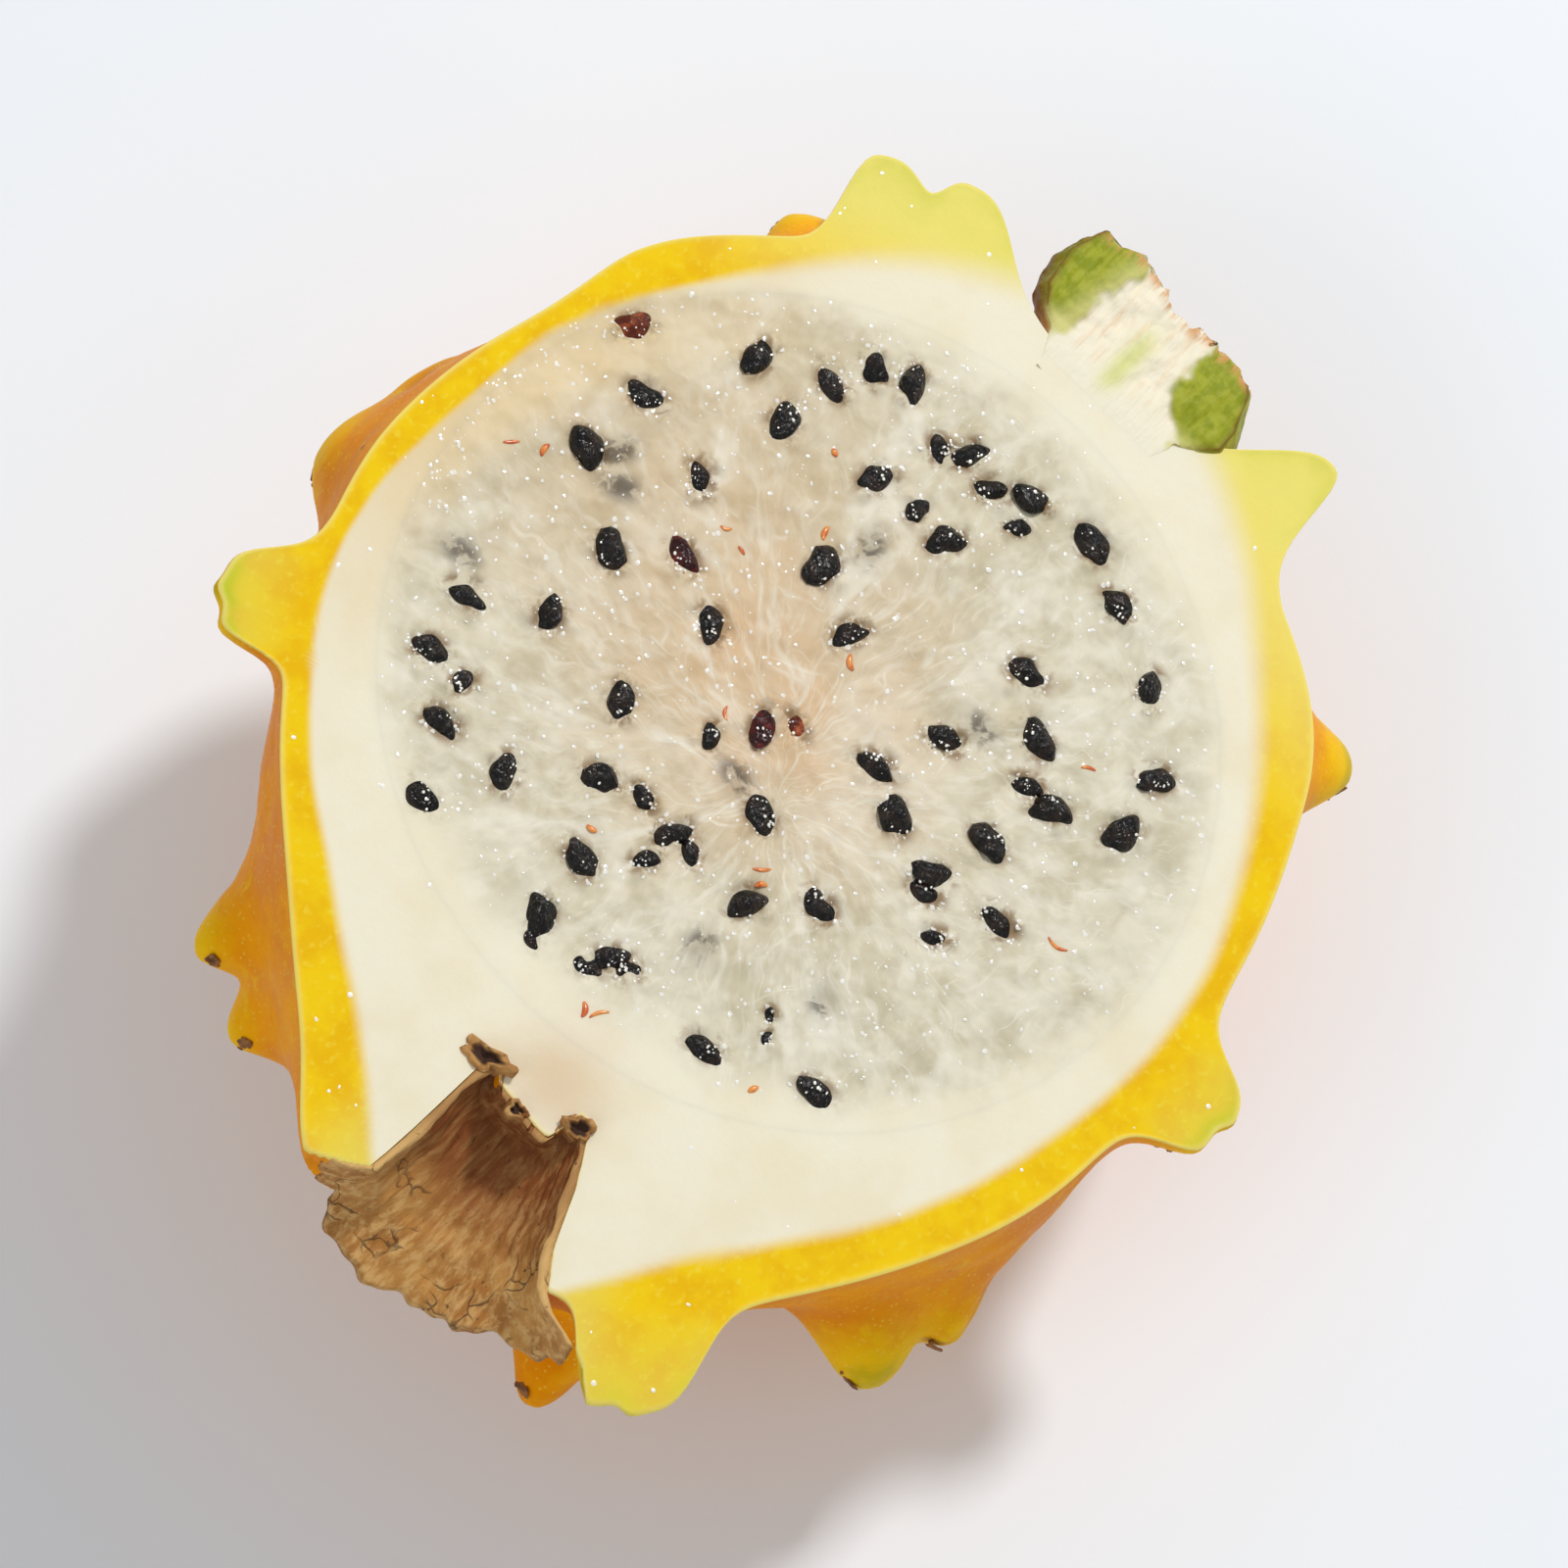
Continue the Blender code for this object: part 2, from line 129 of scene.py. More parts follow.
def round_interp(bearings: Array, table: Table) -> Array:
    """Reads a closed table of (bearing, value) along a smooth curve through its entries.

    Args:
        bearings: where to read it, in degrees.
        table: its entries, in order of bearing.

    Returns:
        One value for each bearing.
    """
    places = np.array([row[0] for row in table] + [table[0][0] + 360.0])
    values = np.array([row[1] for row in table])
    turned = (np.asarray(bearings) - places[0]) % 360.0 + places[0]
    entry = np.clip(np.searchsorted(places, turned, side="right") - 1, 0, len(table) - 1)
    ahead = (entry + 1) % len(table)
    step = np.diff(places)
    rise = (np.roll(values, -1) - values) / step
    slope = (rise * np.roll(step, 1) + np.roll(rise, 1) * step) / (step + np.roll(step, 1))
    share = (turned - places[entry]) / step[entry]
    square, cube = share**2, share**3
    level = values[entry] * (2 * cube - 3 * square + 1) + values[ahead] * (3 * square - 2 * cube)
    return level + step[entry] * (slope[entry] * (cube - 2 * square + share) + slope[ahead] * (cube - square))


def directions_of(bearings: Array, dips: Array) -> Array:
    """Unit vectors for bearings and dips in degrees.

    Args:
        bearings: angles in the cut.
        dips: angles below the cut.

    Returns:
        The vectors, with the three axes last.
    """
    bearings, dips = np.radians(bearings), np.radians(dips)
    bearings, dips = np.broadcast_arrays(bearings, dips)
    flat = np.cos(dips)
    return np.stack([flat * np.cos(bearings), flat * np.sin(bearings), -np.sin(dips)], axis=-1)


def unit(way: Array) -> Array:
    """The vector of length one that points the same way."""
    return way / np.linalg.norm(way)


def two_across(way: Array, axis: int) -> tuple[Array, Array]:
    """Two unit vectors square to a unit vector, the first square to one axis too, or to the next axis."""
    first = unit(np.cross(way, np.eye(3)[axis if abs(way[axis]) < 0.8 else (axis + 1) % 3]))
    return first, np.cross(way, first)


def flat_turn(angle: float) -> Array:
    """Turns rows of points about Z by an angle in radians, when they are multiplied by it."""
    return np.array([[np.cos(angle), np.sin(angle), 0], [-np.sin(angle), np.cos(angle), 0], [0, 0, 1]])


def flat_gap(points: Array, x: float, y: float) -> Array:
    """How far each point is from a place in the cut."""
    return np.hypot(points[..., 0] - x, points[..., 1] - y)


def circle(count: int) -> Array:
    """Angles evenly round a circle, in radians."""
    return np.linspace(0.0, 2 * np.pi, count, endpoint=False)


def bearing_gap(bearings: Array, other: float) -> Array:
    """How far each bearing is from another, the short way round."""
    return np.abs((bearings - other + 180.0) % 360.0 - 180.0)


# The shape of the fruit


@dataclass(frozen=True)
class Bump:
    """A rise on the skin: where it is, how high it stands, how wide it is and how square its top is."""

    bearing: float
    dip: float
    height: float
    width: float
    squareness: float = 2.4

    def direction(self) -> Array:
        """The unit vector from the fruit's centre to the bump."""
        return directions_of(self.bearing, self.dip)

    def lean_way(self) -> Array:
        """The way along the skin that the bump leans, towards the blossom end.

        Returns:
            A unit vector.
        """
        axis = self.direction()
        way = np.array([-1.0, 0.0, 0.0])
        way = way - axis * (axis @ way)
        return unit(way)


@dataclass
class LyingPose:
    """How the half lies, which turns the fruit's own axes into the room's."""

    low_side: float = -46.0
    face_tilt: float = 15.2
    matrix: Matrix = field(default_factory=Matrix)

    def axes(self) -> Array:
        """The room's X, Y and Z as rows, in the fruit's axes.

        Returns:
            The three rows, each a unit vector.
        """
        low, tilt = np.radians(self.low_side), np.radians(self.face_tilt)
        up = np.array([-np.cos(low) * np.sin(tilt), -np.sin(low) * np.sin(tilt), np.cos(tilt)])
        along = unit(np.array([1.0, 0.0, 0.0]) - up * up[0])
        return np.array([along, np.cross(up, along), up])

    def settle(self, pulp: "PulpShape", node: Piece) -> None:
        """Finds the shift from where the frame's flesh lies.

        Args:
            pulp: the flesh in the fruit's axes.
            node: the frame's flesh.
        """
        places = np.array([vertex.co for vertex in node.data.vertices]) @ self.axes()
        middle = (places.min(axis=0) + places.max(axis=0)) / 2
        shift = np.array([middle[0] - pulp.centre[0], middle[1] - pulp.centre[1], places[:, 2].max()])
        self.matrix = Matrix(self.axes().tolist()).to_4x4()
        self.matrix.translation = (self.axes() @ shift).tolist()

    def to_room(self, points: Array) -> Array:
        """Places in the fruit's axes, as places in the room."""
        turn = np.array(self.matrix.to_3x3())
        return points @ turn.T + np.array(self.matrix.translation)

    def to_fruit(self, points: Array) -> Array:
        """Places in the room, as places in the fruit's axes."""
        turn = np.array(self.matrix.to_3x3())
        return (points - np.array(self.matrix.translation)) @ turn


@dataclass
class SkinShape:
    """The outside of the fruit, as a distance from its centre in each direction."""

    stem_length: float = 0.0435
    blossom_length: float = 0.0475
    half_width: float = 0.0376
    half_depth: float = 0.0365
    stem_fullness: float = 2.35
    blossom_fullness: float = 1.88
    lean: float = 0.25
    reach: float = 4.5
    foot_height: float = 0.0062
    foot_flat: float = 0.00035
    foot_width: float = 0.0046
    foot_spots: Table = ((-150.0, 66.0), (40.0, 62.0), (-62.0, 50.0))
    rim_nubs: tuple[Bump, ...] = (
        Bump(116.0, 1.0, 0.0062, 0.0028, 4.0),
        Bump(120.2, 1.0, 0.0057, 0.0024, 4.0),
        Bump(56.0, -9.0, 0.0046, 0.0060),
        Bump(37.6, 10.0, 0.0058, 0.0040, 3.0),
        Bump(32.4, 0.5, 0.0082, 0.0037, 3.2),
        Bump(24.2, -0.5, 0.0079, 0.0040, 3.0),
        Bump(-15.8, 0.5, 0.0100, 0.0036),
        Bump(-40.5, 11.0, 0.0080, 0.0040),
        Bump(-81.6, 1.0, 0.0060, 0.0026, 3.2),
        Bump(-86.2, 1.0, 0.0058, 0.0030, 3.0),
        Bump(-153.8, -1.0, 0.0084, 0.0030, 4.0),
        Bump(-149.2, -1.0, 0.0084, 0.0029, 4.4),
    )
    back_nubs: tuple[Bump, ...] = (
        Bump(92.0, 18.0, 0.0050, 0.0062, 3.0),
        Bump(80.0, 17.0, 0.0036, 0.0060, 3.0),
        Bump(149.0, 20.5, 0.0056, 0.0034),
        Bump(158.0, 24.0, 0.0046, 0.0034),
        Bump(-154.5, 25.5, 0.0104, 0.0036),
        Bump(-122.5, 21.5, 0.0084, 0.0042),
        Bump(-113.5, 20.3, 0.0058, 0.0030),
        Bump(118.0, 48.0, 0.0065, 0.0046),
        Bump(172.0, 50.0, 0.0060, 0.0044),
        Bump(70.0, 40.0, 0.0066, 0.0046),
        Bump(6.0, 34.0, 0.0072, 0.0046),
        Bump(-24.0, 40.0, 0.0060, 0.0044),
        Bump(-91.0, 38.0, 0.0056, 0.0044),
        Bump(-118.0, 54.0, 0.0055, 0.0044),
    )
    swellings: tuple[Bump, ...] = (
        Bump(152.0, -4.0, -0.0036, 0.0150),
        Bump(3.0, 0.0, -0.0015, 0.0090),
        Bump(88.0, 12.0, 0.0024, 0.0160),
        Bump(-106.0, 21.0, 0.0038, 0.0105),
        Bump(175.5, 0.0, 0.0032, 0.0048),
    )
    feet: tuple[Bump, ...] = ()

    def body(self, directions: Array) -> Array:
        """How far the skin is from the centre before the nubs.

        Args:
            directions: unit vectors from the centre.

        Returns:
            One distance for each direction.
        """
        along, across, down = np.moveaxis(directions, -1, 0)
        girth = np.hypot(across / self.half_width, down / self.half_depth)
        length = np.where(along > 0, self.stem_length, self.blossom_length)
        grown = ease(along + 0.5)
        fullness = self.blossom_fullness + (self.stem_fullness - self.blossom_fullness) * grown
        radius = ((np.abs(along) / length) ** fullness + girth**fullness) ** (-1 / fullness)
        for swelling in self.swellings:
            angle = np.arccos(np.clip(directions @ swelling.direction(), -1, 1))
            radius = radius + swelling.height * bell(angle * self.half_width / swelling.width)
        return radius

    def spot_on(self, directions: Array, nub: Bump) -> tuple[Array, Array]:
        """How far each direction meets the skin from a nub, along the way it leans and sideways.

        Args:
            directions: unit vectors from the centre.
            nub: the nub.

        Returns:
            The distances forward and sideways.
        """
        axis = nub.direction()
        reach = float(self.body(axis[None])[0])
        way = nub.lean_way()
        return directions @ way * reach, directions @ np.cross(axis, way) * reach

    def lift(self, directions: Array, nub: Bump) -> Array:
        """How far one nub lifts the skin.

        Args:
            directions: unit vectors from the centre.
            nub: the nub.

        Returns:
            One height for each direction.
        """
        forward, sideways = self.spot_on(directions, nub)
        forward = np.where(forward > 0, forward / (1 - self.lean), forward / (1 + self.lean))
        away = np.hypot(forward, sideways) / nub.width
        fade = np.clip(1 - (away / self.reach) ** 2, 0, 1) ** 2
        facing = directions @ nub.direction() > 0
        return np.where(facing, nub.height / (1 + away**nub.squareness) * fade, 0.0)

    def nubs(self) -> tuple[Bump, ...]:
        """Every nub of this half."""
        return self.rim_nubs + self.back_nubs + self.feet

    def risen(self, directions: Array) -> Array:
        """How far all the nubs together lift the skin."""
        return np.cbrt(sum(self.lift(directions, nub) ** 3 for nub in self.nubs()))

    def radius(self, directions: Array) -> Array:
        """How far the skin is from the centre."""
        return self.body(directions) + self.risen(directions)

    def settle_feet(self, up: Array) -> None:
        """Gives each nub that the half lies on the height that reaches the floor.

        Args:
            up: the way up in the room, in the fruit's axes.
        """
        spots = [Bump(bearing, dip, 0.0, self.foot_width) for bearing, dip in self.foot_spots]
        drops = [-float(up @ spot.direction()) for spot in spots]
        reaches = [float(self.body(spot.direction()[None])[0]) for spot in spots]
        lowest = max((reach + self.foot_height) * drop for reach, drop in zip(reaches, drops))
        centre = lowest - self.foot_flat
        self.feet = tuple(
            Bump(spot.bearing, spot.dip, (centre + self.foot_flat) / drop - reach, spot.width)
            for spot, drop, reach in zip(spots, drops, reaches)
        )


@dataclass
class PulpShape:
    """The flesh: half of an egg shape whose flat side is in the cut."""

    centre: tuple[float, float] = (0.0054, 0.0020)
    half_length: float = 0.0330
    half_width: float = 0.0340
    depth: float = 0.0305

    def edge(self, bearings: Array) -> Array:
        """How far the flesh's edge is from the fruit's centre, in the cut.

        Args:
            bearings: where to measure it.

        Returns:
            One distance for each bearing.
        """
        way = directions_of(bearings, 0.0)[..., :2] / (self.half_length, self.half_width)
        start = -np.array(self.centre) / (self.half_length, self.half_width)
        a = (way**2).sum(axis=-1)
        b = way @ start
        return (-b + np.sqrt(b * b - a * (start @ start - 1))) / a

    def under(self, rim: Array, dips: Array) -> Array:
        """Rings down the underside from the edge.

        Args:
            rim: the points of the edge.
            dips: how far down each ring is, from 0 at the edge to 90 at the bottom.

        Returns:
            One ring of points for each dip.
        """
        flat = rim[:, :2] - self.centre
        down = np.radians(dips)[:, None]
        x = self.centre[0] + flat[None, :, 0] * np.cos(down)
        y = self.centre[1] + flat[None, :, 1] * np.cos(down)
        z = np.broadcast_to(-self.depth * np.sin(down), x.shape)
        return np.stack([x, y, z], axis=-1)


@dataclass
class FlowerHollow:
    """The hollow at the blossom end that the dried flower base fills.

    A place in it is given by how far out it is along the hollow's axis from its bottom, and by an azimuth
    round that axis, where 0 is the hollow's -Y side in the cut, 90 is straight down and 180 is its +Y side.
    """

    bottom: tuple[float, float] = (-0.0324, -0.0052)
    turn: float = 9.0
    outs: tuple[float, ...] = (-3.0, -1.0, 3.7, 8.8, 12.0, 13.0, 14.0, 15.0, 16.5, 18.0)
    mean_spread: tuple[float, ...] = (7.7, 8.2, 9.2, 9.6, 10.2, 10.5, 10.8, 11.1, 11.6, 12.0)
    skew: tuple[float, ...] = (1.9, 1.8, 0.9, 0.65, 0.1, 0.5, 0.7, 0.7, 0.7, 0.7)
    flare: tuple[float, ...] = (0.0, 0.0, 0.0, 0.0, 0.2, 1.6, 4.2, 5.2, 5.6, 5.6)
    floor_sides: tuple[float, ...] = (-9.0, -7.4, -6.2, -5.0, -3.8, -1.8, 0.5, 1.3, 1.9, 2.5, 3.3, 5.0, 9.0)
    floor_outs: tuple[float, ...] = (0.8, 0.4, -1.2, -0.9, 0.7, 1.3, 1.9, 2.0, 0.8, -1.0, -0.9, 0.6, 0.8)
    floor_under: float = 1.2
    notch_bearing: float = -171.0

    def axis(self) -> Array:
        """The way out of the hollow."""
        turn = np.radians(self.turn)
        return np.array([-np.cos(turn), -np.sin(turn), 0.0])

    def side(self) -> Array:
        """Across the hollow in the cut, towards -Y."""
        turn = np.radians(self.turn)
        return np.array([np.sin(turn), -np.cos(turn), 0.0])

    def base_distance(self) -> float:
        """How far the hollow's bottom is from the fruit's centre."""
        return float(np.hypot(*self.bottom))

    def floor(self, sideways: Array, down: Array) -> Array:
        """How far out the scalloped floor is, at places across and below the axis."""
        at_cut = np.interp(sideways / MM, self.floor_sides, self.floor_outs)
        return MM * (self.floor_under + (at_cut - self.floor_under) * bell(down / (2.6 * MM)))

    def wall(self, outs: Array) -> list[Array]:
        """The wall's mean angle from the axis, its lean to one side and its flare, at places out."""
        return [np.interp(outs / MM, self.outs, table) for table in (self.mean_spread, self.skew, self.flare)]

    def spread(self, outs: Array, azimuth: Array) -> Array:
        """The angle at the fruit's centre between the axis and the wall, in degrees.

        Args:
            outs: how far out along the axis.
            azimuth: where round the axis.

        Returns:
            One angle for each place.
        """
        mean, skew, flare = self.wall(outs)
        cosine = np.cos(np.radians(azimuth))
        return mean - skew * cosine + flare * cosine**4

    def place(self, outs: Array, spreads: Array, azimuth: Array) -> Array:
        """Places in the fruit's axes from a distance out, an angle from the axis and an azimuth.

        Args:
            outs: how far out along the axis.
            spreads: angles from the axis.
            azimuth: where round the axis.

        Returns:
            The places.
        """
        reach = self.base_distance() + outs
        radial = reach * np.tan(np.radians(spreads))
        azimuth = np.radians(azimuth)
        sideways, down = radial * np.cos(azimuth), radial * np.sin(azimuth)
        in_cut = reach[..., None] * self.axis() + sideways[..., None] * self.side()
        return in_cut - down[..., None] * [0, 0, 1]

    def entry(self, directions: Array) -> Array:
        """How far each direction goes before it enters the hollow, or a metre if it never does.

        Args:
            directions: unit vectors from the centre.

        Returns:
            One distance for each direction.
        """
        along = directions @ self.axis()
        sideways, down = directions @ self.side(), -directions[..., 2]
        angle = np.degrees(np.arctan2(np.hypot(sideways, down), along))
        cosine = sideways / np.maximum(np.hypot(sideways, down), 1e-9)
        steps = np.linspace(self.outs[0], self.outs[-1], 85) * MM
        out = np.full(angle.shape, 1.0)
        for step, mean, skew, flare in reversed(list(zip(steps, *self.wall(steps)))):
            out = np.where(angle <= mean - skew * cosine + flare * cosine**4, step, out)
        scale = self.base_distance() / np.maximum(along, 1e-3)
        floor = self.floor(sideways * scale, down * scale)
        reach = (self.base_distance() + np.maximum(out, floor)) / np.maximum(along, 1e-3)
        return np.where((along > 0.5) & (out < 0.5), reach, 1.0)


# Meshes


def rings_to_faces(count: int, around: int, zipped: bool) -> tuple[Array, Array]:
    """The faces between rings of points, and those that close both ends.

    Args:
        count: how many rings there are.
        around: how many points each ring has.
        zipped: whether an end ring is a folded strip, which is closed side to side.

    Returns:
        The quads, and the triangles that meet in one point at each end.
    """
    index = np.arange(count * around).reshape(count, around)
    here, there = index[:-1], index[1:]
    quads = np.stack([here, np.roll(here, -1, 1), np.roll(there, -1, 1), there], axis=-1).reshape(-1, 4)
    first, last = index[0], index[-1]
    if zipped:
        near, half = np.arange(around // 2 - 1), around - 1
        far = [first[half - near], first[half - 1 - near], first[near + 1], first[near]]
        end = [last[near], last[near + 1], last[half - 1 - near], last[half - near]]
        quads = np.concatenate([quads, np.stack(far, axis=-1), np.stack(end, axis=-1)])
        return quads, np.zeros((0, 3), dtype=int)
    start = np.stack([np.full(around, count * around), np.roll(first, -1), first], axis=-1)
    end = np.stack([np.full(around, count * around + 1), last, np.roll(last, -1)], axis=-1)
    return quads, np.concatenate([start, end])


def encloses(points: Array, quads: Array, tris: Array) -> float:
    """The signed volume inside closed faces, which is negative if they are inside out.

    Args:
        points: the places of the corners.
        quads: the faces with four corners.
        tris: the faces with three.

    Returns:
        Six times the volume.
    """
    split = np.concatenate([quads[:, [0, 1, 2]], quads[:, [0, 2, 3]], tris])
    a, b, c = (points[split[:, corner]] for corner in range(3))
    return float(np.einsum("ij,ij->i", a, np.cross(b, c)).sum())


@dataclass
class Shell:
    """Closed skins made from rings of points, gathered into one mesh with marks on its points."""

    name: str
    points: list[Array] = field(default_factory=list)
    faces: list[list[int]] = field(default_factory=list)
    slots: list[Array] = field(default_factory=list)
    marks: dict[str, list[Array]] = field(default_factory=dict)
    sharp: list[tuple[int, int]] = field(default_factory=list)
    total: int = 0

    def add(
        self,
        rings: Array,
        ends: tuple[Array, Array] | None,
        marks: dict[str, Array] | None = None,
        slots: Array | None = None,
        sharp_rings: tuple[int, ...] = (),
    ) -> None:
        """Adds one closed skin.

        Args:
            rings: its rings of points, from one end to the other.
            ends: the point that closes each end, or None if its rings are folded strips.
            marks: a value for each point of the rings, by name.
            slots: the material slot of each band between rings.
            sharp_rings: the rings that are hard edges.
        """
        count, around = rings.shape[:2]
        points = rings.reshape(-1, 3)
        if ends is not None:
            points = np.concatenate([points, np.array(ends)])
        quads, tris = rings_to_faces(count, around, ends is None)
        if encloses(points, quads, tris) < 0:
            quads, tris = quads[:, ::-1], tris[:, ::-1]
        self.points.append(points)
        self.faces += (quads + self.total).tolist() + (tris + self.total).tolist()
        bands = np.zeros(count - 1, dtype=int) if slots is None else slots
        closing = around if ends is not None else around // 2 - 1
        ends_slots = np.concatenate([np.full(closing, bands[0]), np.full(closing, bands[-1])])
        self.slots.append(np.concatenate([np.repeat(bands, around), ends_slots]))
        for name, values in (marks or {}).items():
            at_ends = [] if ends is None else [values[0].mean(), values[-1].mean()]
            self.marks.setdefault(name, []).append(np.concatenate([values.reshape(-1), at_ends]))
        starts = [self.total + ring * around for ring in sharp_rings]
        self.sharp += [(start, start + around) for start in starts]
        self.total += len(points)

    def build(self, pose: LyingPose, materials: list[Material]) -> Piece:
        """Makes the object, laid down as the half lies.

        Args:
            pose: how the half lies.
            materials: the materials of its slots.

        Returns:
            The new object.
        """
        mesh = bpy.data.meshes.new(self.name)
        mesh.from_pydata(pose.to_room(np.concatenate(self.points)).tolist(), [], self.faces)
        for name, values in self.marks.items():
            mark = mesh.attributes.new(name, "FLOAT", "POINT")
            mark.data.foreach_set("value", np.concatenate(values).astype(np.float32))
        mesh.polygons.foreach_set("material_index", np.concatenate(self.slots).astype(np.int32))
        mesh.polygons.foreach_set("use_smooth", np.ones(len(mesh.polygons), dtype=bool))
        if self.sharp:
            ends = np.zeros(len(mesh.edges) * 2, dtype=np.int32)
            mesh.edges.foreach_get("vertices", ends)
            ends = ends.reshape(-1, 2)
            hard = np.zeros(len(ends), dtype=bool)
            for low, high in self.sharp:
                hard |= ((ends >= low) & (ends < high)).all(axis=1)
            edge_mark = mesh.attributes.new("sharp_edge", "BOOLEAN", "EDGE")
            edge_mark.data.foreach_set("value", hard)
        for material in materials:
            mesh.materials.append(material)
        mesh.update()
        return put_in_scene(self.name, mesh)


def put_in_scene(name: str, data: bpy.types.ID) -> Piece:
    """Makes an object of some data and links it to the scene.

    Args:
        name: what the object is called.
        data: its mesh, lamp or camera.

    Returns:
        The object.
    """
    obj = bpy.data.objects.new(name, data)
    bpy.context.scene.collection.objects.link(obj)
    return obj


def hand_over(obj: Piece, slot: str, *nodes: str) -> Piece:
    """Rides a piece on the half's one body and hides the frame nodes that it stands for.

    Args:
        obj: the piece.
        slot: not used.
        *nodes: the frame's nodes that it replaces.

    Returns:
        The same piece.
    """
    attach(obj, "root")
    if nodes:
        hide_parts(*nodes)
    log.info("%s: %d faces", obj.name, len(obj.data.polygons))
    return obj


# The cut face


@dataclass(frozen=True)
class SeedSpot:
    """Where a seed lies: its centre, the way its point faces, its size and how high its middle is."""

    x: float
    y: float
    heading: float
    length: float = 0.0034
    width: float = 0.0023
    level: float = -0.0004


